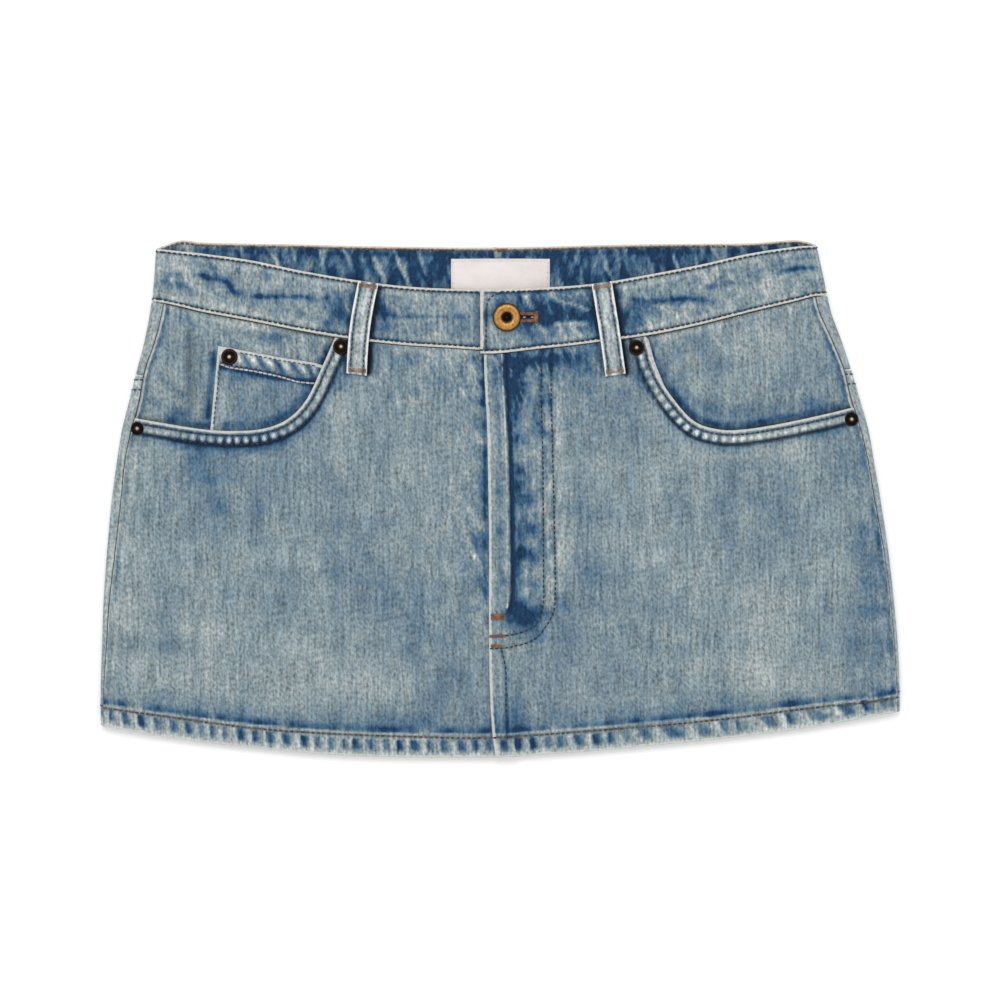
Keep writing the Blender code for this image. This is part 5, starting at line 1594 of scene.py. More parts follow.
    def facing_grid(self, side: Side) -> ClothGrid:
        """One facing as a dressed grid."""
        form, inward = self.form, -side.outward
        mouth = form.mouths[side]
        u = stations(self.facing_width, self.step, False, False)
        v = stations(self.facing_depth, self.step, False, False)
        upper, _ = self.tucked(side, self.facing_tuck, self.facing_bend, 0.0, 1.0, v)
        _, lower = self.tucked(side, self.facing_tuck, self.facing_bend, 0.0, 1.0, u)
        edge_y = float(form.panel_top(side.outward * form.half_width, side))
        corner_x = float(form.side_seam(edge_y, side)) + inward * self.side_gap
        corner_y = float(form.panel_top(corner_x, side))
        side_y = lerp(corner_y, mouth.at(1.0)[1] - self.facing_tuck, v)
        outer = joined(form.side_seam(side_y, side) + inward * self.side_gap, side_y)
        top_x = lerp(corner_x, mouth.at(0.0)[0] + inward * self.facing_tuck, u)
        top = joined(top_x, form.panel_top(top_x, side) - form.layer_gap)
        right = fixed_ends(upper, v, top[-1], lower[-1])
        bottom = fixed_ends(lower, u, outer[-1], lower[-1])
        top = fixed_ends(top, u, outer[0], top[-1])
        plan = coons(top, bottom, outer, right, u, v)
        x, y = plan[..., 0], plan[..., 1]
        shades = self.left_shades if side is Side.LEFT else self.right_shades
        base = 0.51 if side is Side.LEFT else 0.535
        wash = base + 0.05 * cloud(34, x / 8.0, y / 30.0) + total(shades, x, y)
        wash += 0.04 * cloud(35, x / 5.0, y / 6.0, 2)
        points = joined(x, y, form.facing(x, y, side))
        seam = np.abs(form.side_seam(y, side) + inward * self.side_gap - x)
        below = form.panel_top(x, side) - y
        wash = wash + 0.28 * bell(seam - 2.8, 1.2) - 0.14 * bell(below - 2.8, 1.5)
        grid = ClothGrid(f"pocket_facing_{side.value}", points, plan.copy(), wash, seam)
        to_mouth = mouth.nearest(x, y)[0]
        near_top = fall(4.0, 30.0, below)
        grid.worn = 0.15 + 0.5 * near_top + 0.1 * bell(to_mouth, 12.0)
        # Painted shade under the mouth's edge and beside the belt loops.
        grid.grime = self.mouth_painted_shade[side] * bell(to_mouth - 0.5, 1.5) + 0.85 * form.loop_shadow(x, y)
        if side is Side.LEFT:
            grid.grime = grid.grime + total(self.fold_painted_shade, x, y)
        grid.cloth[..., 0] += self.facing_shift + 400.0 * side.outward
        grid.raise_by(self.facing_relief(x, y, side))
        return grid

    def facing_relief(self, x: Array, y: Array, side: Side) -> Array:
        """Soft folds of a facing, kept away from its tucked edges."""
        distance = self.form.mouths[side].nearest(x, y)[0]
        top = self.form.panel_top(x, side) - y
        fade = ease(2.0, 14.0, distance) * ease(1.0, 12.0, top)
        relief = 0.25 * cloud(6, x / 26.0, y / 34.0, 2)
        if side is Side.LEFT:
            relief += 0.5 * bell(x + 183.2, 3.4)
            relief *= ease(168.0, 177.0, -x)
        return relief * fade

    def coin_grid(self) -> ClothGrid:
        """The coin pocket as a dressed grid."""
        form, side = self.form, Side.LEFT
        u = stations(self.coin_width, self.coin_step, True, False)
        v = stations(self.coin_depth, self.coin_step, True, False)
        share = (self.coin_start, self.coin_end)
        upper, _ = self.tucked(side, self.coin_tuck, self.coin_bend, *share, v)
        _, lower = self.tucked(side, self.coin_tuck, self.coin_bend, *share, u)
        top_line = Path((*self.coin_top, tuple(upper[0])), False)
        left_line = Path((self.coin_top[0], self.coin_foot), False)
        top, left = top_line.at(u), left_line.at(v)
        bottom = fixed_ends(lower, u, left[-1], lower[-1])
        right = fixed_ends(upper, v, top[-1], lower[-1])
        plan = coons(top, bottom, left, right, u, v)
        x, y = plan[..., 0], plan[..., 1]
        to_top, run, _ = top_line.nearest(x, y)
        to_left = left_line.nearest(x, y)[0]
        sway = 1.5 * Noise(36).at(run / 13.0, 2.0)
        ripple = np.sin(run * TAU / 9.4 + 1.4 - 0.6 * to_top + sway)
        wash = 0.53 + 0.05 * cloud(36, x / 7.0, y / 24.0) + total(self.coin_shades, x, y)
        wash = wash - (0.24 + 0.46 * ripple) * bell(to_top - 4.6, 3.2) + 0.50 * bell(to_top - 12.0, 1.9)
        wash -= 0.12 * bell(to_left - 5.5, 2.4) * ease(13.0, 18.0, to_top)
        wash += 0.12 * bell(to_left - 10.0, 1.6) * ease(13.0, 18.0, to_top)
        relief = (0.05 + 0.28 * ripple) * bell(to_top - 4.4, 3.0) - 0.25 * bell(to_top - 9.0, 1.3)
        relief += 0.25 * cloud(7, x / 18.0, y / 20.0, 2) * ease(9.0, 18.0, to_top)
        finished = np.minimum(to_top - 0.5, to_left - 0.3)
        points = joined(x, y, form.coin(x, y))
        grid = ClothGrid("coin_pocket", points, plan.copy(), wash, finished)
        grid.cloth[..., 0] += self.coin_shift
        grid.worn = 0.25
        # Painted shade just under the scooped mouth's edge.
        grid.grime = 0.45 * bell(form.mouths[side].nearest(x, y)[0] - 0.5, 1.5)
        grid.raise_by(relief - rolled(np.minimum(to_top, to_left), 0.45))
        return grid

    def stitch_coin(self) -> None:
        """The coin pocket's rows and corner tack."""
        def height(x: Array, y: Array) -> Array:
            """Height of the thread on the coin pocket."""
            return self.form.coin(x, y) + 0.12

        second_row = tuple((x, y + 1.5) for x, y in self.coin_row)
        rows = ((self.coin_row, Thread.CREAM, "chain"), (self.coin_edge_row, Thread.NAVY, "fine"),
                (second_row, Thread.NAVY, "fine"), (self.coin_side_row, Thread.NAVY, "fine"))
        for points, thread, style in rows:
            self.box.add("coin_pocket", thread, row_on(along(points), height), style)

    def build(self) -> None:
        """Make the facings, the coin pocket and its stitching."""
        for side in Side:
            self.sheet(self.facing_grid(side), self.facing_flats[side],
                       [f"back_panel_{side.value}", f"back_yoke_{side.value}"])
        self.stitch_coin()
        self.sheet(self.coin_grid(), self.coin_flat, ["pocket_facing_left"])


# --------------------------------------------------------------------------------------
# Back yokes and panels
# --------------------------------------------------------------------------------------

@dataclass
class BackPieces(SheetMaker):
    """Both yokes and both back panels, which wrap round the side folds to the front."""

    step: float = 2.3
    fold_columns: int = 18
    half_span: float = 218.0
    inside_wash: float = 0.34
    weave_shift: float = 2300.0
    lengths: dict = field(default_factory=lambda: {"yoke": 64.0, "panel": 212.0})
    passes: int = 4
    base_wash: float = 0.47
    shades: tuple = (
        Spot(-110, -20, 60, 60, -0.10), Spot(110, -25, 62, 58, -0.10), Spot(-60, -90, 30, 24, 0.06),
        Spot(75, -100, 34, 20, 0.05), Spot(-180, 20, 18, 44, 0.07), Spot(185, 10, 18, 46, 0.07),
        Trail(((-200, 60), (-150, 48), (-96, 40)), 7, 0.10, 0.5, 62, 20),
        Trail(((44, 38), (100, 46), (180, 62)), 7, 0.10, 0.5, 63, 20),
        Trail(((-170, -40), (-120, -58), (-60, -60)), 6, -0.08, 0.5, 64, 20),
        Trail(((50, -62), (110, -56), (176, -36)), 6, -0.08, 0.5, 65, 20),
    )
    creases: tuple = (
        Trail(((-190, 40), (-130, 22), (-70, 20)), 8, 0.45, 0.4, 66, 25),
        Trail(((60, 24), (120, 18), (186, 36)), 8, 0.45, 0.4, 67, 25),
        Trail(((-90, -40), (-84, -80), (-92, -120)), 10, 0.4, 0.4, 68, 20),
        Trail(((100, -40), (108, -84), (100, -120)), 10, 0.4, 0.4, 69, 20),
    )
    flats: dict = field(default_factory=lambda: {"yoke": (0.240, 0.070), "panel": (0.255, 0.232)})

    def unrolled(self, inset: Array) -> Array:
        """Length along the fold's surface from the outermost line in to an inset."""
        radius = self.form.fold_radius
        bent = radius * np.arccos(np.clip(1.0 - inset / radius, -1.0, 1.0))
        return np.where(inset < radius, bent, radius * math.pi / 2.0 + inset - radius)

    def round_fold(self, run: Array) -> tuple[Array, Array]:
        """Inset and height at a run along the surface; negative runs lie on the front."""
        radius = self.form.fold_radius
        arc = radius * math.pi / 2.0
        turn = np.minimum(np.abs(run), arc) / radius
        inset = radius * (1.0 - np.cos(turn)) + np.maximum(np.abs(run) - arc, 0.0)
        rise = radius * np.sin(turn)
        return inset, np.where(run < 0.0, radius + rise, radius - rise)

    def lines(self, part: str) -> tuple[Callable, Callable, Callable]:
        """The front top, back top and bottom lines of a yoke or panel."""
        form = self.form
        if part == "yoke":
            return (lambda x: form.band_bottom(x) - form.seam_gap,
                    lambda x: form.back_bottom(x) - form.seam_gap,
                    lambda x: form.yoke_seam(x) + form.seam_gap / 2.0)

        def seam(x: Array) -> Array:
            """The panel's top edge, under the yoke."""
            return form.yoke_seam(x) - form.seam_gap / 2.0
        return seam, seam, form.hem

    def place(self, side: Side, part: str, u: Array, v: Array) -> tuple[Array, Array]:
        """Points and runs of a back piece: u is 0 to 1 round the fold, 1 to 2 on the back."""
        form, outward = self.form, side.outward
        fold, inset_at = form.folds[side], form.insets[side]
        top_front, top_back, bottom = self.lines(part)
        side_top = top_front(outward * form.half_width)
        side_bottom = bottom(outward * form.half_width)
        shoulder = form.fold_radius * math.pi / 2.0
        straight = lerp(side_top, side_bottom, v)
        y = straight + 0.0 * u
        for _ in range(self.passes):
            fold_y = np.where(u <= 1.0, y, straight)
            fold_x = fold(fold_y)
            start = -self.unrolled(inset_at(fold_y))
            centre = shoulder + np.abs(form.centre_back_x - fold_x) - form.fold_radius - form.seam_gap / 2.0
            run = np.where(u <= 1.0, lerp(start, shoulder, u), lerp(shoulder, centre, u - 1.0))
            inset, z = self.round_fold(run)
            x = fold_x - outward * inset
            turn = (run / shoulder + 1.0) / 2.0
            top = lerp(top_front(x), top_back(x), ease(0.0, 1.0, turn))
            y = lerp(top, bottom(x), v)
        z = np.where(run > shoulder, form.back_lift(x, y), z)
        z = np.where(run < -shoulder, form.body(x, y, side), z)
        return joined(x, y, z), run

    def inward(self, x: Array, y: Array, run: Array, part: str) -> Array:
        """How far the back sinks inwards; its proud ridges stay at zero."""
        form = self.form
        shoulder = form.fold_radius * math.pi / 2.0
        fade = ease(shoulder, shoulder + 16.0, run)
        centre, hem = np.abs(x - form.centre_back_x), y - form.hem(x)
        seam = np.abs(y - form.yoke_seam(x))
        relief = 0.28 + 0.20 * cloud(12, x / 44.0, y / 60.0, 2) + 0.5 * total(self.creases, x, y)
        relief = np.clip(relief, 0.0, 0.9)
        relief = relief * ease(0.0, 9.0, seam) * ease(0.0, 9.0, centre) * ease(2.0, 14.0, hem)
        relief = relief * ease(0.0, 30.0, centre) if part == "yoke" else relief
        rows = 0.20 * bell(seam - 2.6, 0.9) + 0.20 * bell(seam - 8.4, 1.0) if part == "panel" else 0.0
        rope = np.sin((x + 0.8 * hem) * TAU / 10.5)
        rows = rows + (0.16 + 0.14 * rope) * bell(hem - 6.2, 3.8) + 0.2 * bell(hem - 11.9, 1.3)
        if part == "panel":
            rows = rows + 0.2 * bell(centre - 2.6, 0.9) + 0.2 * bell(centre - 8.4, 1.0)
        return (relief + rows) * fade

    def wash(self, x: Array, y: Array, run: Array, part: str) -> Array:
        """Depth of the indigo on a back piece."""
        form = self.form
        centre, hem = np.abs(x - form.centre_back_x), y - form.hem(x)
        seam = np.abs(y - form.yoke_seam(x))
        wash = self.base_wash + 0.04 * cloud(37, x / 55.0, y / 70.0)
        wash = wash + 0.04 * cloud(38, run / 7.0, y / 42.0) + total(self.shades, x, y) * (run > 5.0)
        rope = np.sin((x + 0.8 * hem) * TAU / 10.5 + 2.0 * Noise(39).at(x / 23.0, 4.0))
        wash = wash - 0.20 * rope * bell(hem - 6.4, 4.2) + 0.12 * bell(hem - 8.5, 3.6)
        wash = wash + 0.17 * bell(hem - 13.4, 2.2) - 0.2 * bell(hem - 1.2, 2.0)
        ripple = np.sin(x * TAU / 7.3 + 2.0 * Noise(40).at(x / 17.0, 1.0))
        lapped = 1.0 if part == "panel" else 0.25
        wash = wash + lapped * bell(seam - 5.5, 2.0) * (-0.12 - 0.14 * ripple) + 0.15 * bell(seam, 1.3)
        wash += lapped * (0.12 * bell(seam - 2.6, 0.9) + 0.14 * bell(seam - 9.0, 1.6))
        wave = np.sin(y * TAU / 7.7)
        wash = wash + bell(centre - 5.5, 2.0) * (-0.10 - 0.12 * wave) + 0.15 * bell(centre, 1.3)
        on_front = fall(-form.fold_radius * 1.2, 0.0, run)
        return wash - 0.10 * on_front

    def grid(self, side: Side, part: str) -> ClothGrid:
        """One back piece as a dressed grid."""
        form = self.form
        wrap = np.linspace(0.0, 1.0, self.fold_columns)
        flat = 1.0 + stations(self.half_span, self.step, False, True)
        u = np.concatenate([wrap, flat[1:]])
        v = stations(self.lengths[part], self.step)
        points, run = self.place(side, part, u[None, :], v[:, None])
        x, y = points[..., 0], points[..., 1]
        hem, centre = y - form.hem(x), np.abs(x - form.centre_back_x) - 0.4
        edge = np.where(run > 4.0, np.minimum(np.maximum(hem, 0.0), 50.0), 50.0)
        if part == "panel":
            seam = np.abs(y - form.yoke_seam(x)) - 0.4
            edge = np.minimum(edge, np.maximum(np.minimum(seam, centre), 0.0) + 0.5)
        grid = ClothGrid(f"back_{part}_{side.value}", points, points[..., :2].copy(),
                         self.wash(x, y, run, part), edge, faces_up=False)
        grid.cloth[..., 0] = run * side.outward + self.weave_shift + 500.0 * side.outward
        grid.thick = fall(form.hem_depth - 0.6, form.hem_depth + 0.6, hem)
        grid.wash_inside = self.inside_wash + 0.05 * cloud(72, x / 20.0, y / 40.0)
        grid.raise_by(-self.inward(x, y, run, part) - rolled(np.maximum(hem, 0.0), 0.5))
        return grid

    def row(self, side: Side, part: str, u: Array, v: Array) -> Row:
        """A row of stitches at shares of a back piece."""
        points, run = self.place(side, part, u, v)
        around = 1e-3
        across = self.place(side, part, u + around, v)[0] - self.place(side, part, u - around, v)[0]
        down = self.place(side, part, u, v + around)[0] - self.place(side, part, u, v - around)[0]
        normal = np.cross(across, down) * side.outward
        normal /= np.linalg.norm(normal, axis=-1, keepdims=True)
        if float(np.mean(normal[run > 6.0][:, 2] if np.any(run > 6.0) else normal[:, 2])) > 0.0:
            normal = -normal
        depth = self.inward(points[:, 0], points[:, 1], run, part)
        return Row(points - normal * depth[:, None], normal)

    def stitch(self, side: Side) -> None:
        """Rows on one back panel and yoke."""
        panel, yoke = f"back_panel_{side.value}", f"back_yoke_{side.value}"
        u = np.linspace(0.03, 1.995, 320)
        for share in (0.013, 0.041):
            self.box.add(panel, Thread.NAVY, self.row(side, "panel", u, np.full(u.shape, share)))
        self.box.add(panel, Thread.NAVY, self.row(side, "panel", u[8:], np.full(u[8:].shape, 0.942)))
        v = np.linspace(0.02, 0.99, 170)
        rows = (0.011, 0.037) if side is Side.RIGHT else (0.011,)
        for share in rows:
            self.box.add(panel, Thread.NAVY, self.row(side, "panel", np.full(v.shape, 2.0 - share), v))
        v = np.linspace(0.02, 0.98, 50)
        self.box.add(yoke, Thread.NAVY, self.row(side, "yoke", np.full(v.shape, 1.989), v))

    def build(self) -> None:
        """Make the four back pieces and their stitching."""
        for side in Side:
            self.stitch(side)
            for part, flat in self.flats.items():
                thick = self.form.hem_wall if part == "panel" else None
                self.sheet(self.grid(side, part), flat, thick_wall=thick)


# --------------------------------------------------------------------------------------
# Waistband and label
# --------------------------------------------------------------------------------------

@dataclass
class Waistband(SheetMaker):
    """The waistband: one strip all round, its right end lapped over its left."""

    step: float = 1.4
    middle_y: float = 135.0
    fold_margin: float = 2.0
    fold_stations: int = 15
    back_stations: int = 230
    slot_start_x: float = 2.0
    slot_end_x: float = 21.0
    slot_y: float = 108.8
    slot_width: float = 1.9
    tack_x: float = 1.2
    tack_reach: float = 4.2
    # Rows all round: share down the band, and how many stations from its end they start.
    rows_round: tuple = ((0.052, 12), (0.948, 3))
    depth: float = 35.0
    pucker: float = 8.5
    slot_middle_x: float = 12.0
    weave_shift: float = 3400.0
    flat: tuple = (0.850, 0.0385)
    # Tone patches; Spot(-96, 114, ...), Spot(-70, 110, ...), Spot(-68, 114, ...) and Spot(79, 113, ...)
    # beside the belt loops are painted shade.
    front_shades: tuple = (
        Spot(24, 93, 12, 7, 0.12), Spot(-70, 110, 8, 10, 0.12), Spot(36, 109, 24, 3, 0.14),
        Spot(25, 98, 60, 9, 0.06), Spot(88, 104, 22, 10, 0.07), Spot(30, 113, 30, 12, 0.46),
        Spot(34, 107.5, 26, 3.4, 0.14), Spot(12, 121, 10, 4, 0.24), Spot(0, 117, 7, 6, 0.16),
        Spot(58, 106, 6, 14, 0.20), Spot(-84, 112, 9, 16, 0.12), Spot(-102, 97, 10, 6, 0.16),
        Spot(-66, 94, 8, 8, 0.16), Spot(80, 96, 8, 8, 0.14), Spot(-96, 114, 9, 13, 0.34),
        Spot(-68, 114, 5, 14, 0.18), Spot(79, 113, 9, 12, 0.32), Spot(-30, 106, 26, 5, 0.10),
        Spot(-40, 116, 12, 6, -0.10), Spot(-4, 98, 6, 6, -0.28), Spot(14, 101, 10, 5, 0.12),
        Spot(-4, 107, 3, 10, -0.10), Spot(-192, 140, 9, 3.5, -0.14), Spot(-135, 113, 16, 6, -0.12),
        Spot(-176, 124, 14, 4, -0.08), Spot(110, 107, 22, 5, -0.14), Spot(164, 126, 26, 6, -0.12),
        Spot(150, 136, 12, 5, 0.10), Spot(-150, 126, 10, 5, 0.08), Spot(-60, 102, 12, 5, 0.08),
        Trail(((13.1, 123.7), (17, 118), (21.5, 112.3)), 1.1, -0.46, 0.4, 181, 3), Trail(((29.9, 124.9),
        (34, 119), (46, 116), (56, 112)), 0.9, -0.42, 0.4, 182, 3),
        Trail(((41.3, 123.7), (43.7, 115.3)), 1.1, -0.30, 0.6, 183, 3), Trail(((31, 106), (36, 104.6),
        (44, 105.4), (55, 104.6)), 1.1, -0.34, 0.5, 184, 3),
        Trail(((19.5, 106.1), (23.5, 103.7), (27.7, 98.7)), 1.1, -0.46, 0.4, 185, 2),
        Trail(((34.1, 106.9), (36.3, 103), (37, 98)), 1, -0.40, 0.4, 186, 2),
        Trail(((41.3, 105.1), (45, 101.5), (49.7, 96.7)), 1.2, -0.32, 0.6, 187, 2),
        Trail(((26, 102), (29, 97)), 1.2, -0.26, 0.6, 188, 2),
    )
    creases: tuple = (
        Trail(((-209, 136), (-199, 134.4), (-190, 134.8)), 1.9, 0.34, 0.3, 81, 3), Trail(((-187, 135),
        (-171, 132), (-164, 129.7), (-160, 124), (-153, 121.6)), 1.9, 0.42, 0.3, 82, 4),
        Trail(((-152, 121.3), (-123.6, 121.3), (-101, 119.6)), 1.9, 0.38, 0.4, 83, 4), Trail(((-152, 122),
        (-128, 119), (-108, 116), (-96, 112)), 4, 0.10, 0.4, 183, 6), Trail(((76, 121.5), (90, 118.4),
        (104, 119.8), (120, 119.5), (130, 117.4)), 1.9, 0.42, 0.4, 84, 3),
        Trail(((121, 126.6), (131, 128.6), (143, 130)), 1.8, 0.30, 0.3, 85, 3),
        Trail(((166, 135.5), (180, 138.6), (196, 137.6)), 1.9, 0.52, 0.3, 86, 1),
        Trail(((-192, 140.4), (-184, 134), (-176, 129.5)), 1.8, -0.26, 0.3, 87, 3),
        Trail(((-35.5, 124), (-35.2, 94)), 1.2, -0.16, 0.4, 88, 4),
        Trail(((-206, 131), (-190, 128), (-176, 121)), 1.8, 0.20, 0.5, 89, 4), Trail(((-71.5, 112.8),
        (-62, 109.3), (-38, 109.6), (-17, 109)), 1.4, 0.24, 0.5, 90, 3),
        Trail(((84, 124), (92, 117.6), (100, 115.4)), 1.4, -0.22, 0.3, 91, 3),
        Trail(((100, 104), (118, 111), (130, 118)), 1.8, 0.10, 0.3, 92, 4),
        Trail(((-148, 134), (-140, 126), (-136, 116)), 1.3, -0.20, 0.5, 93, 4),
        Trail(((178, 122), (190, 127), (203, 130)), 2, 0.14, 0.3, 94, 4),
    )

    def ring(self) -> tuple[Array, Array]:
        """Stations round the waistband, from the overlap to the underlap.

        Returns:
            The layer of each station, and its place or turn.
        """
        form = self.form
        left_end = float(form.folds[Side.LEFT](self.middle_y)) + form.band_fold_radius + self.fold_margin
        right_end = float(form.folds[Side.RIGHT](self.middle_y)) - form.band_fold_radius - self.fold_margin
        layers, places = [], []

        def lay(layer: str, values: Array) -> None:
            """Add a layer's stations."""
            layers.extend([layer] * len(values))
            places.extend(values)

        front = right_end - form.overlap_x
        lay("front_right", form.overlap_x + stations(front, self.step, True, False) * front)
        lay("right_fold", np.linspace(0.0, 1.0, self.fold_stations))
        lay("back", np.linspace(right_end, left_end, self.back_stations)[1:-1])
        lay("left_fold", np.linspace(1.0, 0.0, self.fold_stations))
        under = form.underlap_x - left_end
        lay("front_left", left_end + stations(under, self.step, False, True) * under)
        return np.array(layers), np.array(places)

    def lean(self, x: Array, v: Array) -> Array:
        """Lean a station with the side folds, which are not upright."""
        form = self.form

        def side_y(side: Side) -> Array:
            """Height on the front at which a share of the band meets its side fold."""
            edge = side.outward * form.half_width
            return lerp(form.band_top(edge), form.band_bottom(edge), v)

        left = form.folds[Side.LEFT](side_y(Side.LEFT)) - form.folds[Side.LEFT](self.middle_y)
        right = form.folds[Side.RIGHT](side_y(Side.RIGHT)) - form.folds[Side.RIGHT](self.middle_y)
        x = x + left * ease(60.0, 188.0, -x)
        return x + right * ease(60.0, 188.0, x)

    def points(self, names: Array, places: Array, v: Array) -> Array:
        """Points of every row and station."""
        form = self.form
        result = np.zeros((len(v), len(places), 3))
        for layer in ("front_right", "right_fold", "back", "left_fold", "front_left"):
            chosen = np.flatnonzero(names == layer)
            along_it, rows = places[chosen][None, :], v[:, None]
            if layer.endswith("fold"):
                side = Side.LEFT if layer == "left_fold" else Side.RIGHT
                x, y, z = self.fold_points(side, along_it, rows)
            else:
                x = self.lean(along_it, rows)
                if layer == "back":
                    y = lerp(form.back_top(x), form.back_bottom(x), rows)
                    z = form.back_lift(x, y)
                else:
                    side = Side.RIGHT if layer == "front_right" else Side.LEFT
                    low = form.band_bottom(x)
                    if side is Side.RIGHT:
                        low -= form.overlap_droop * bell(x - form.overlap_x, form.overlap_droop_width)
                    y = lerp(form.band_top(x), low, rows)
                    z = form.band(x, y, side)
            result[:, chosen] = np.stack(np.broadcast_arrays(x, y, z), axis=-1)
        return result

    def fold_points(self, side: Side, t: Array, v: Array) -> tuple[Array, Array, Array]:
        """Points on a waistband fold: t runs from the front layer to the back layer."""
        form = self.form
        edge, radius = side.outward * form.half_width, form.band_fold_radius
        side_y = lerp(form.band_top(edge), form.band_bottom(edge), v)
        x = form.folds[side](side_y) - side.outward * radius * (1.0 - np.sin(math.pi * t))
        back_y = lerp(form.back_top(x), form.back_bottom(x), v)
        front_y = lerp(form.band_top(x), form.band_bottom(x), v)
        y = lerp(front_y, back_y, ease(0.0, 1.0, t))
        return x, y, radius * (1.0 + np.cos(math.pi * t))

    def rows(self) -> Array:
        """Shares down the band, with a pair of lines at the buttonhole's lips."""
        form = self.form
        top, low = float(form.band_top(self.slot_middle_x)), float(form.band_bottom(self.slot_middle_x)) - 1.0
        lips = [(top - self.slot_y - d) / (top - low) for d in (self.slot_width / 2, -self.slot_width / 2)]
        shares = stations(self.depth, 1.35)
        clear = np.array([min(abs(s - lip) for lip in lips) > 0.012 for s in shares])
        inside = (shares > lips[0]) & (shares < lips[1])
        return np.sort(np.concatenate([shares[clear & ~inside], lips]))

    def ripple(self, run: Array) -> Array:
        """Puckers along the band's stitched edges, from -1 to 1."""
        return np.sin(run * TAU / self.pucker + 2.0 * Noise(14).at(run / 19.0, 2.0))

    def relief(self, x: Array, y: Array, v: Array, run: Array, front: Array) -> Array:
        """Stitch channels and soft buckles of the band."""
        edge = np.minimum(v, 1.0 - v) * self.depth
        relief = -0.25 * bell(edge - 3.0, 1.0) + 0.16 * (0.5 + 0.5 * self.ripple(run)) * bell(edge - 1.0, 1.6)
        soft = 0.22 * cloud(15, x / 20.0, y / 9.0, 2) * ease(3.0, 9.0, edge)
        creases = total([replace(mark, amount=-0.9 * mark.amount) for mark in self.creases], x, y)
        return relief + (soft + creases) * front + np.where(front > 0.0, 0.0, -0.15 + 0.0 * x)

    def grid(self) -> ClothGrid:
        """The band as a dressed grid."""
        form = self.form
        names, places = self.ring()
        v = self.rows()
        points = self.points(names, places, v)
        steps = np.linalg.norm(np.diff(points[len(v) // 2], axis=0), axis=1)
        run = np.concatenate([[0.0], np.cumsum(steps)])[None, :] + 0.0 * v[:, None]
        x, y = points[..., 0], points[..., 1]
        share = v[:, None] + 0.0 * x
        front = np.where(np.char.startswith(names, "front"), 1.0, 0.0)[None, :] + 0.0 * x
        right = (names == "front_right")[None, :] & np.ones(x.shape, bool)
        overlap_end = np.where(right, x - form.overlap_x, 60.0)
        edge = np.minimum(np.minimum(share, 1.0 - share) * self.depth, overlap_end - 0.5)
        left_front = (names == "front_left")[None, :] & np.ones(x.shape, bool)
        wash = self.wash(x, y, share, run, front, overlap_end)
        wash = np.where(left_front & (x > -16.0), wash + 0.15, wash)
        grid = ClothGrid("waistband", points, joined(run, share * -36.0), wash, edge)
        grid.cloth[..., 0] += self.weave_shift
        grid.worn = 0.65
        # Painted shade: the belt loops' shadow and the hollow of the rows near each edge.
        shadow = 0.80 * np.minimum(form.loop_shadow(x, y), 1.0) * front
        grid.grime = np.minimum(shadow + 0.35 * bell(edge - 1.9, 0.8), 0.85)
        grid.wash_inside = self.wash_inside(x, share, run)
        columns = (x[0] > self.slot_start_x) & (x[0] < self.slot_end_x) & right[0]
        deep = float(form.band_top(self.slot_middle_x) - form.band_bottom(self.slot_middle_x)) + 1.0
        lips = np.flatnonzero(np.abs(np.diff(v) - self.slot_width / deep) < 1e-6)
        hole = np.zeros((len(v) - 1, len(places) - 1), bool)
        hole[lips[0]] = columns[:-1] & columns[1:]
        grid.hole = hole
        roll = np.maximum(rolled(np.minimum(share * self.depth, overlap_end), 0.9),
                          rolled((1.0 - share) * self.depth, 0.5))
        grid.raise_by(self.relief(x, y, share, run, front) - roll)
        return grid

    def wash(self, x: Array, y: Array, share: Array, run: Array, front: Array, end: Array) -> Array:
        """Depth of the indigo on the band's outside."""
        edge = np.minimum(share, 1.0 - share) * self.depth
        wash = 0.50 + 0.08 * cloud(41, run / 26.0, share * 2.4)
        wash += 0.10 * cloud(42, run / 7.0, share * 4.5)
        wash = wash - (0.12 + 0.08 * self.ripple(run)) * bell(edge - 4.6, 1.8) + 0.20 * bell(edge - 2.3, 0.9)
        marks = total(self.front_shades, x, y) + total(self.creases, x, y)
        # The belt-loop term is painted shadow beside the loops.
        wash += (marks + 0.35 * self.form.loop_shadow(x, y)) * front
        wash = wash - 0.20 * bell(end - 2.2, 1.2) + 0.26 * bell(end - 4.0, 0.8) - 0.16 * bell(end - 5.8, 0.9)
        return wash

    def wash_inside(self, x: Array, share: Array, run: Array) -> Array:
        """Depth of the indigo on the band's inside, deep and streaked."""
        streak = cloud(43, (run + share * 9.0) / 9.0, share * 1.6, 2)
        thin = cloud(44, (run - share * 6.0) / 3.2, share * 2.0, 2)
        wash = 0.81 + 0.17 * streak + 0.20 * thin
        wander = run + share * (11.0 + 8.0 * Noise(146).at(run / 21.0, 0.5))
        wander = wander + 9.0 * Noise(45).at(run / 34.0, 0.5) + 2.0 * Noise(147).at(run / 6.0, share * 3.0)
        phase = wander / 15.5 - np.floor(wander / 15.5)
        ridge = bell(phase - 0.5, 0.085) * (0.50 + 0.8 * Noise(145).at(run / 12.0, share * 2.5))
        wash = wash - 0.66 * ridge + 0.12 * bell(phase - 0.68, 0.08)
        wash = wash - 0.30 * bell(share * self.depth - 1.0, 1.0) + 0.14 * bell(share * self.depth - 4.4, 1.5)
        return wash + 0.05 * (bell(x + 84.0, 50.0) + bell(x - 78.0, 46.0))

    def ring_row(self, grid: ClothGrid, share: float) -> Row:
        """Every station's point and normal at a share down the band."""
        v, normals = self.rows(), grid.normals()
        place = float(np.interp(share, v, np.arange(len(v))))
        low = int(place)
        return Row(lerp(grid.points[low], grid.points[low + 1], place - low),
                   lerp(normals[low], normals[low + 1], place - low))

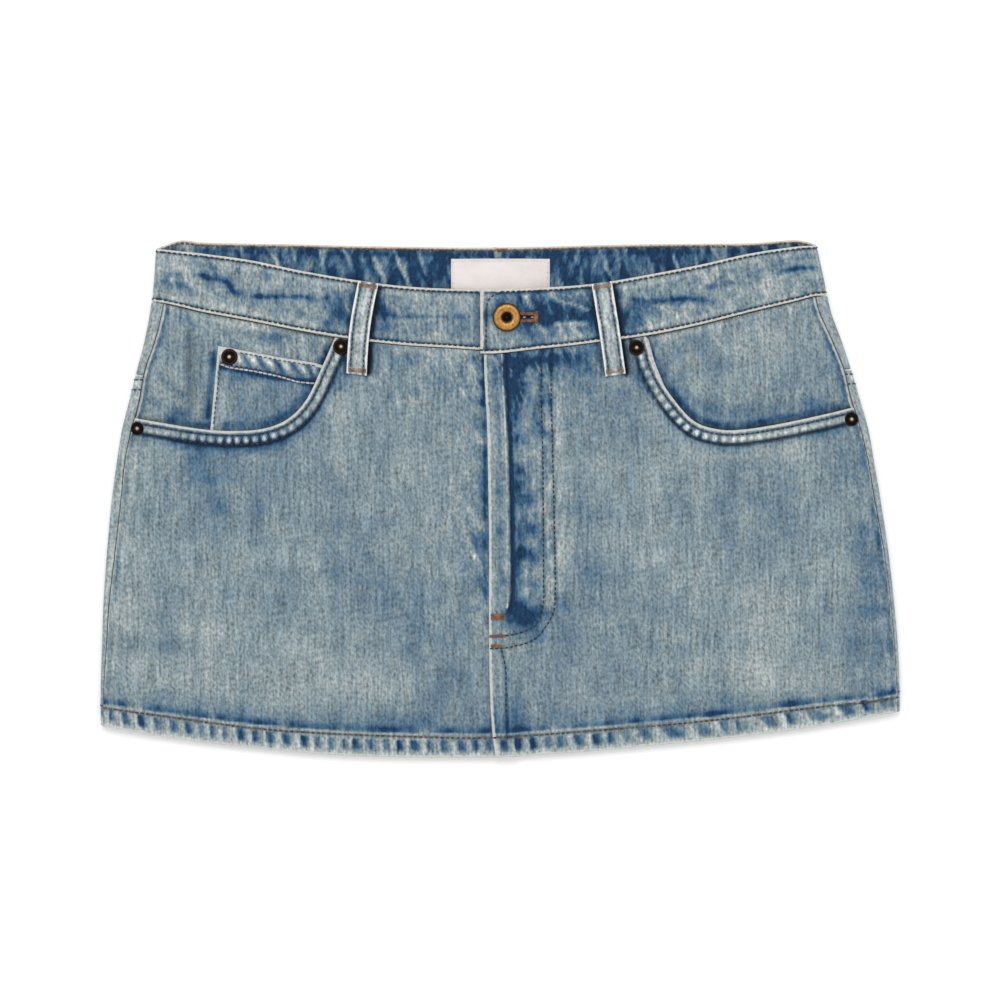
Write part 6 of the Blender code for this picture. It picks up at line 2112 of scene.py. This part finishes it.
    def stitch(self, grid: ClothGrid) -> None:
        """Rows round the band, at its overlap, the buttonhole and inside."""
        names = self.ring()[0]
        outside = np.flatnonzero(names != "front_left")
        under = np.flatnonzero((names == "front_left") & (grid.points[0, :, 0] < self.form.overlap_x - 1.0))
        for share, skipped in self.rows_round:
            line = self.ring_row(grid, share)
            for kept in (outside[skipped:], under):
                self.box.add("waistband", Thread.NAVY, Row(line.points[kept], line.normals[kept]), "heavy")
        height = self.front_height
        x_end = self.form.overlap_x + 3.6
        corner = ((x_end, 91.5), (x_end, 104.0), (x_end + 0.2, 114.0), (x_end + 2.2, 120.0),
                  (x_end + 7.0, 122.8), (x_end + 13.0, 123.6))
        self.box.add("waistband", Thread.NAVY, row_on(along(corner), height))
        lip = self.slot_width / 2 + 1.1
        middle, end = self.slot_y, self.slot_end_x
        loop = ((11.0, middle + lip), (end - 1.0, middle + lip), (end + 0.4, middle + lip * 0.6),
                (end + 0.4, middle - lip * 0.6), (end - 1.0, middle - lip), (11.0, middle - lip))
        self.box.add("waistband", Thread.TAN, row_on(along(loop, 0.5, False), height), "buttonhole")
        cord = along(((14.5, middle), (end - 1.6, middle)), 0.5, False)
        self.box.add("waistband", Thread.CREAM, row_on(cord, lambda x, y: height(x, y) - 0.7))
        bar = ((end + 0.9, middle + 3.4), (end + 0.9, middle - 3.4))
        self.box.add("waistband", Thread.TAN, row_on(along(bar, 0.5, False), height), "bartack")
        back = np.flatnonzero(names == "back")
        tacked = back[np.abs(grid.points[0, back, 0] - self.tack_x) < self.tack_reach]
        rim_rows = ((0.014, back, Thread.COCOA, "chain"), (0.060, back, Thread.BROWN, "lock"),
                    (0.040, tacked, Thread.TAN, "bartack"))
        for share, kept, thread, style in rim_rows:
            line = self.ring_row(grid, share)
            inside = line.points[kept] - line.normals[kept] * self.form.band_wall
            self.box.add("waistband", thread, Row(inside, -line.normals[kept]), style)

    def front_height(self, x: Array, y: Array) -> Array:
        """Height of the band's overlap."""
        return self.form.band(x, y, Side.RIGHT)

    def build(self) -> None:
        """Make the band and its stitching."""
        grid = self.grid()
        self.stitch(grid)
        self.sheet(grid, self.flat, ["belt_loop_back"], "denim_pale", BAND_DENIM, BAND_REVERSE,
                   self.form.band_wall)


@dataclass
class WaistLabel(SheetMaker):
    """The bare label inside the back waistband."""

    left: float = -29.5
    right: float = 29.9
    top: float = 144.3
    depth: float = 25.0
    finish: LabelFinish = LabelFinish("label_white", (222, 215, 212), (203, 195, 190))

    def height(self, x: Array, y: Array) -> Array:
        """Height of the label's face."""
        form = self.form
        return form.back_lift(x, y) + form.band_wall + form.layer_gap + form.label_wall - 0.05

    def build(self) -> None:
        """Make the label and its stitches."""
        width = self.right - self.left
        x = self.left + stations(width, 1.1) * width
        y = self.top - stations(self.depth, 1.1) * self.depth
        xx, yy = np.meshgrid(x, y)
        edge = np.minimum(np.minimum(xx - self.left, self.right - xx),
                          np.minimum(self.top - yy, yy - self.top + self.depth))
        points = joined(xx, yy, self.height(xx, yy))
        wash = 0.10 * cloud(46, xx / 16.0, yy / 9.0) + 0.5 * bell(edge - 1.0, 0.5)
        grid = ClothGrid("waist_label", points, joined(xx, yy), wash, edge)
        grid.raise_by(-rolled(edge, 0.5) - 0.12 * bell(edge - 1.6, 0.6))
        low = self.top - self.depth
        edges = [((at, self.top - 1.2), (at, low + 1.2)) for at in (self.left + 1.6, self.right - 1.6)]
        for ends in (*edges, ((self.left + 1.2, self.top - 1.6), (self.right - 1.2, self.top - 1.6))):
            line = row_on(along(ends, 1.0, False), self.height)
            self.box.add("waist_label", Thread.WHITE, line, "fine")
        self.sheet(grid, (width * MM, self.depth * MM), ["waistband"], "label", self.finish, self.finish,
                   self.form.label_wall, measured=False)


# --------------------------------------------------------------------------------------
# Belt loops
# --------------------------------------------------------------------------------------

@dataclass
class BeltLoops(SheetMaker):
    """Three belt loops: folded strips, bartacked at both ends."""

    width: float = 12.3
    arch: float = 0.5
    row_inset: float = 2.3
    tack_half: float = 5.2
    grid_step: tuple = (0.85, 0.95)
    front_shift: float = 4400.0
    back_shift: float = 4600.0
    flat: tuple = (0.0123, 0.056)

    def front_height(self, side: Side, x: Array, y: Array, share: Array) -> Array:
        """Height of a front loop over the waistband and the panel below it."""
        form = self.form
        seam = form.band_bottom(x)
        over = ease(-8.0, -0.5, y - seam)
        band = form.band(x, np.minimum(y, form.band_top(x)), side)
        under = lerp(form.body(x, y, side), band, over)
        arch = self.arch * np.sin(math.pi * np.clip(share, 0.0, 1.0))
        return under + form.layer_gap + form.loop_wall + arch

    def dress(self, across: Array, run: Array, seed: int) -> tuple[Array, Array, Array]:
        """Wash, edge distance and relief of a loop."""
        edge = self.width / 2.0 - np.abs(across)
        tack = np.minimum(run, self.form.loop_length - run)
        wash = 0.26 + 0.20 * cloud(seed, across / 2.6, run / 8.0, 2) - 0.06 * bell(across, 2.0)
        wash = wash + 0.34 * bell(edge - self.row_inset, 0.8) + 0.16 * bell(tack - 4.4, 1.6)
        relief = -0.22 * bell(edge - self.row_inset, 0.8) + 0.16 * bell(across, 2.0)
        relief = relief - 0.3 * bell(tack - 1.4, 1.5) + 0.08 * cloud(seed + 1, across / 4.0, run / 6.0, 2)
        return wash, edge, relief

    def lattice(self, length: float) -> list:
        """Places across and down a strip of some length."""
        across = (stations(self.width, self.grid_step[0]) - 0.5) * self.width
        return np.meshgrid(across, stations(length, self.grid_step[1]) * length)

    def loop(self, name: str, points: Array, across: Array, run: Array, seed: int, weave_shift: float,
             faces_up: bool = True) -> ClothGrid:
        """A loop as a dressed grid.

        Args:
            name: Name of its CAD node.
            points: Its points, row by row.
            across: Distance of each point from the strip's middle line.
            run: Distance of each point down the strip.
            seed: Seed of its wash and relief.
            weave_shift: Where it reads the weave.
            faces_up: Whether its outside is turned up.

        Returns:
            The grid, with its relief.
        """
        wash, edge, relief = self.dress(across, run, seed)
        grid = ClothGrid(name, points, joined(across, -run), wash, edge, faces_up)
        grid.cloth[..., 0] += weave_shift
        grid.worn = 0.35
        # Painted shade in the hollow of each stitched row.
        grid.grime = 0.40 * bell(edge - self.row_inset, 0.9)
        if not faces_up:
            relief = np.minimum(relief - 0.2, 0.0)
        grid.raise_by(relief - rolled(edge, 0.6))
        return grid

    def front_loop(self, side: Side, top: tuple, bottom: tuple, bow: float) -> None:
        """One front loop with its rows and tacks."""
        start, end = np.array(top), np.array(bottom)
        length = float(np.hypot(*(end - start)))
        down = (end - start) / length
        sideways = np.array([-down[1], down[0]])
        outward = sideways * np.sign(sideways[0]) * side.outward

        def place(run: Array, offset: Array) -> Array:
            """Points at a run down the strip and an offset across it."""
            bowed = outward * (bow * np.sin(math.pi * run / length))[..., None]
            return start + down * run[..., None] + sideways * offset[..., None] + bowed

        def height(sink: float) -> Callable:
            """The strip's surface, sunk by a little."""
            def at(x: Array, y: Array) -> Array:
                """Height at a place."""
                share = ((x - start[0]) * down[0] + (y - start[1]) * down[1]) / length
                return self.front_height(side, x, y, share) - sink
            return at

        across, run = self.lattice(length)
        plan = place(run, across)
        x, y = plan[..., 0], plan[..., 1]
        points = joined(x, y, self.front_height(side, x, y, run / length))
        name = f"belt_loop_front_{side.value}"
        seed = 47 if side is Side.LEFT else 49
        grid = self.loop(name, points, across, run, seed, self.front_shift + 60.0 * side.outward)
        for sign in (-1.0, 1.0):
            run = np.linspace(2.6, length - 2.6, 48)
            line = place(run, np.full(run.shape, sign * (self.width / 2.0 - self.row_inset)))
            self.box.add(name, Thread.NAVY, row_on(line, height(0.1)), "fine")
        for run_at in (1.9, 2.9, length - 3.1, length - 2.1):
            offset = np.linspace(-self.tack_half, self.tack_half, 12)
            line = start + down * run_at + sideways * offset[:, None]
            self.box.add(name, Thread.COCOA, row_on(line, height(0.25)), "bartack")
        self.sheet(grid, self.flat, ["waistband", f"front_panel_{side.value}"], "denim_pale", LOOP_DENIM,
                   wall=self.form.loop_wall, measured=False)

    def back_loop(self) -> None:
        """The loop at centre back, flat under the raised waistband and yoke."""
        form, name = self.form, "belt_loop_back"
        middle, top = form.centre_back_x, float(form.back_top(form.centre_back_x))
        across, run = self.lattice(form.loop_length)
        points = joined(middle - across, top - run, np.zeros(run.shape))
        grid = self.loop(name, points, across, run, 51, self.back_shift, False)

        def height(x: Array, y: Array) -> Array:
            """Height of the thread on the flat strip."""
            return 0.2 + 0.0 * (x + y)

        reach, foot = self.width / 2.0 - self.row_inset, top - form.loop_length
        for at in (middle - reach, middle + reach):
            line = along(((at, top - 2.6), (at, foot + 2.6)), 1.2, False)
            self.box.add(name, Thread.NAVY, row_on(line, height, -1.0), "fine")
        for at in (top - 1.7, foot + 1.7):
            line = along(((middle - self.tack_half, at), (middle + self.tack_half, at)), 1.0, False)
            self.box.add(name, Thread.BROWN, row_on(line, height, -1.0), "bartack")
        self.sheet(grid, self.flat, outer=LOOP_DENIM, wall=form.loop_wall, measured=False)

    def build(self) -> None:
        """Make the three loops."""
        for ends in self.form.loops:
            self.front_loop(*ends)
        self.back_loop()


# --------------------------------------------------------------------------------------
# Hardware
# --------------------------------------------------------------------------------------

@dataclass(frozen=True)
class TurnedPart:
    """A turned metal part: a profile of (radius, height), and tones from bright 0 to black 2."""

    profile: tuple
    tones: tuple
    segments: int
    finish: MetalFinish

    def rings(self) -> Array:
        """The profile, smoothed through its points."""
        path = Path(self.profile)
        share = np.linspace(0.0, 1.0, 3 * len(self.profile) + 1)
        return np.maximum(path.at(share), [0.0, -99.0])

    def build(self, name: str, base: Array, normal: Array, material: bpy.types.Material) -> bpy.types.Object:
        """Turn the profile about a normal that stands on a base point.

        Args:
            name: Name of the piece.
            base: Foot of the part.
            normal: Its upright axis.
            material: Its finish.

        Returns:
            The finished object, at the origin.
        """
        rings = self.rings()
        aside = np.cross([0.0, 1.0, 0.0], normal)
        aside /= np.linalg.norm(aside)
        ahead = np.cross(normal, aside)
        angles = np.linspace(0.0, TAU, self.segments, endpoint=False)
        circle = np.cos(angles)[:, None] * aside + np.sin(angles)[:, None] * ahead
        radii, tones = zip(*self.tones)
        points, faces, hollow = [base + normal * rings[0, 1]], [], [tones[0]]
        for radius, height in rings[1:-1]:
            points.extend(base + circle * radius + normal * height)
            hollow.extend([float(np.interp(radius, radii, tones))] * self.segments)
        points.append(base + normal * rings[-1, 1])
        hollow.append(tones[-1])
        count, n = len(rings) - 2, self.segments
        for j in range(n):
            after = (j + 1) % n
            faces.append((0, 1 + j, 1 + after))
            for k in range(count - 1):
                a, b = 1 + k * n, 1 + (k + 1) * n
                faces.append((a + j, b + j, b + after, a + after))
            last = 1 + (count - 1) * n
            faces.append((last + j, len(points) - 1, last + after))
        mesh = bpy.data.meshes.new(f"{name}_metal")
        mesh.from_pydata((np.array(points) * MM).tolist(), [], faces)
        data = mesh.attributes.new("hollow", "FLOAT", "POINT").data
        data.foreach_set("value", np.array(hollow, np.float32))
        mesh.materials.append(material)
        mesh.shade_smooth()
        piece = bpy.data.objects.new(mesh.name, mesh)
        bpy.context.scene.collection.objects.link(piece)
        return piece


@dataclass
class Hardware:
    """Five pocket rivets and the waist button."""

    form: Form
    finishes: Finishes
    foot_reach: float = 3.0
    button_x: float = 4.0
    button_y: float = 108.8
    rivet: TurnedPart = TurnedPart(
        ((0.0, 2.3), (0.8, 2.1), (1.3, 1.4), (2.2, 1.5), (3.6, 1.6), (4.4, 0.9), (4.7, 0.3), (0.0, 0.25)),
        ((0.0, 0.0), (0.9, 0.15), (1.4, 1.9), (3.2, 2.2), (3.8, 1.7), (4.2, 1.3), (4.7, 1.9)),
        36, MetalFinish("rivet_copper", (206, 180, 146), (82, 60, 48), (10, 7, 5), 0.42, 0.5))
    button: TurnedPart = TurnedPart(
        ((0.0, 2.2), (0.5, 2.0), (0.9, 1.3), (2.7, 1.3), (3.2, 2.3), (4.6, 2.9), (6.2, 3.2), (7.6, 2.8),
         (8.3, 1.8), (7.9, 0.7), (2.4, 0.6), (2.4, -2.05), (0.0, -2.05)),
        ((0.0, 1.2), (0.4, 1.5), (0.8, 2.2), (2.6, 2.2), (3.0, 1.2), (3.9, 0.6), (4.5, 0.3), (5.4, 0.7),
         (6.6, 0.4), (7.4, 0.7), (8.3, 1.7)),
        64, MetalFinish("button_brass", (222, 168, 92), (120, 82, 42), (8, 5, 4), 0.42, 0.6))
    places: tuple = (
        ("rivet_coin_pocket", Form.coin, Side.LEFT, -162.2, 85.2, 1),
        ("rivet_left_waist", Form.body, Side.LEFT, -95.3, 91.4, 0.97),
        ("rivet_left_side", Form.body, Side.LEFT, -217.4, 42.3, 0.78),
        ("rivet_right_waist", Form.body, Side.RIGHT, 81.8, 90.8, 0.94),
        ("rivet_right_side", Form.body, Side.RIGHT, 210.6, 47.9, 0.84),
    )

    def build(self) -> None:
        """Make the rivets and the button."""
        for name, layer, side, x, y, share in self.places:
            def height(px: Array, py: Array, of: Callable = layer, at: Side = side) -> Array:
                """Height of the cloth under a rivet."""
                return of(self.form, px, py, at)
            worn = replace(self.rivet, profile=tuple((r * share, h) for r, h in self.rivet.profile))
            self.stand(worn, name, (x, y), height, "rivet")

        def band(px: Array, py: Array) -> Array:
            """Height of the waistband's overlap."""
            return self.form.band(px, py, Side.RIGHT)

        self.stand(self.button, "waist_button", (self.button_x, self.button_y), band, "brass")

    def stand(self, part: TurnedPart, name: str, place: tuple, height: Callable, slot: str) -> None:
        foot = row_on(np.array([place]), height, step=self.foot_reach)
        piece = part.build(name, foot.points[0], foot.normals[0], self.finishes.get(part.finish))
        declare(piece, [name])


# --------------------------------------------------------------------------------------
# Studio
# --------------------------------------------------------------------------------------

@dataclass
class Studio:
    """Plain pale floor, soft light from beyond the waist, and the camera above."""

    camera_height: float = 1.6707
    lens: float = 100.0
    centre: tuple = (-0.00006, -0.00051)
    floor_z: float = -0.0009
    world_strength: float = 0.93
    key_power: float = 10.0
    key_size: float = 0.9
    key_place: tuple = (-0.1, 0.85, 1.6)
    sensor: float = 36.0
    floor_reach: float = 6.0

    def build(self) -> None:
        """Make the floor, world, light and camera."""
        scene = bpy.context.scene
        scene.view_settings.view_transform = "Standard"
        world = bpy.data.worlds.new("studio_air")
        world.use_nodes = True
        air = world.node_tree.nodes["Background"]
        air.inputs["Color"].default_value = (1.0, 1.0, 1.0, 1.0)
        air.inputs["Strength"].default_value = self.world_strength
        scene.world = world
        self.floor()
        light = bpy.data.lights.new("key", "AREA")
        light.energy, light.size = self.key_power, self.key_size
        key = bpy.data.objects.new("key", light)
        key.location = self.key_place
        aim = Vector((0.0, 0.0, 0.0)) - Vector(self.key_place)
        key.rotation_euler = aim.to_track_quat("-Z", "Y").to_euler()
        scene.collection.objects.link(key)
        lens = bpy.data.cameras.new("camera")
        lens.lens, lens.sensor_width = self.lens, self.sensor
        camera = bpy.data.objects.new("camera", lens)
        camera.location = (*self.centre, self.camera_height)
        scene.collection.objects.link(camera)
        scene.camera = camera

    def floor(self) -> None:
        """A plain pale floor."""
        mesh = bpy.data.meshes.new("floor")
        reach = self.floor_reach
        corners = [(-reach, -reach), (reach, -reach), (reach, reach), (-reach, reach)]
        mesh.from_pydata([(x, y, self.floor_z) for x, y in corners], [], [(0, 1, 2, 3)])
        bench = NodeBench("floor_white")
        bench.surface({"Base Color": (1.0, 1.0, 1.0, 1.0), "Roughness": 1.0, "Specular IOR Level": 0.0})
        mesh.materials.append(bench.material)
        floor = bpy.data.objects.new("floor", mesh)
        bpy.context.scene.collection.objects.link(floor)


def main() -> None:
    """Build the skirt piece by piece."""
    logging.basicConfig(level=logging.INFO, format="%(message)s")
    form, finishes = Form(), Finishes()
    box = SewingBox(finishes)
    Studio().build()
    for maker in (BackPieces, PocketPieces, FrontPanels, Waistband, WaistLabel, BeltLoops):
        maker(form, finishes, box).build()
    Hardware(form, finishes).build()


if __name__ == "__main__":
    main()
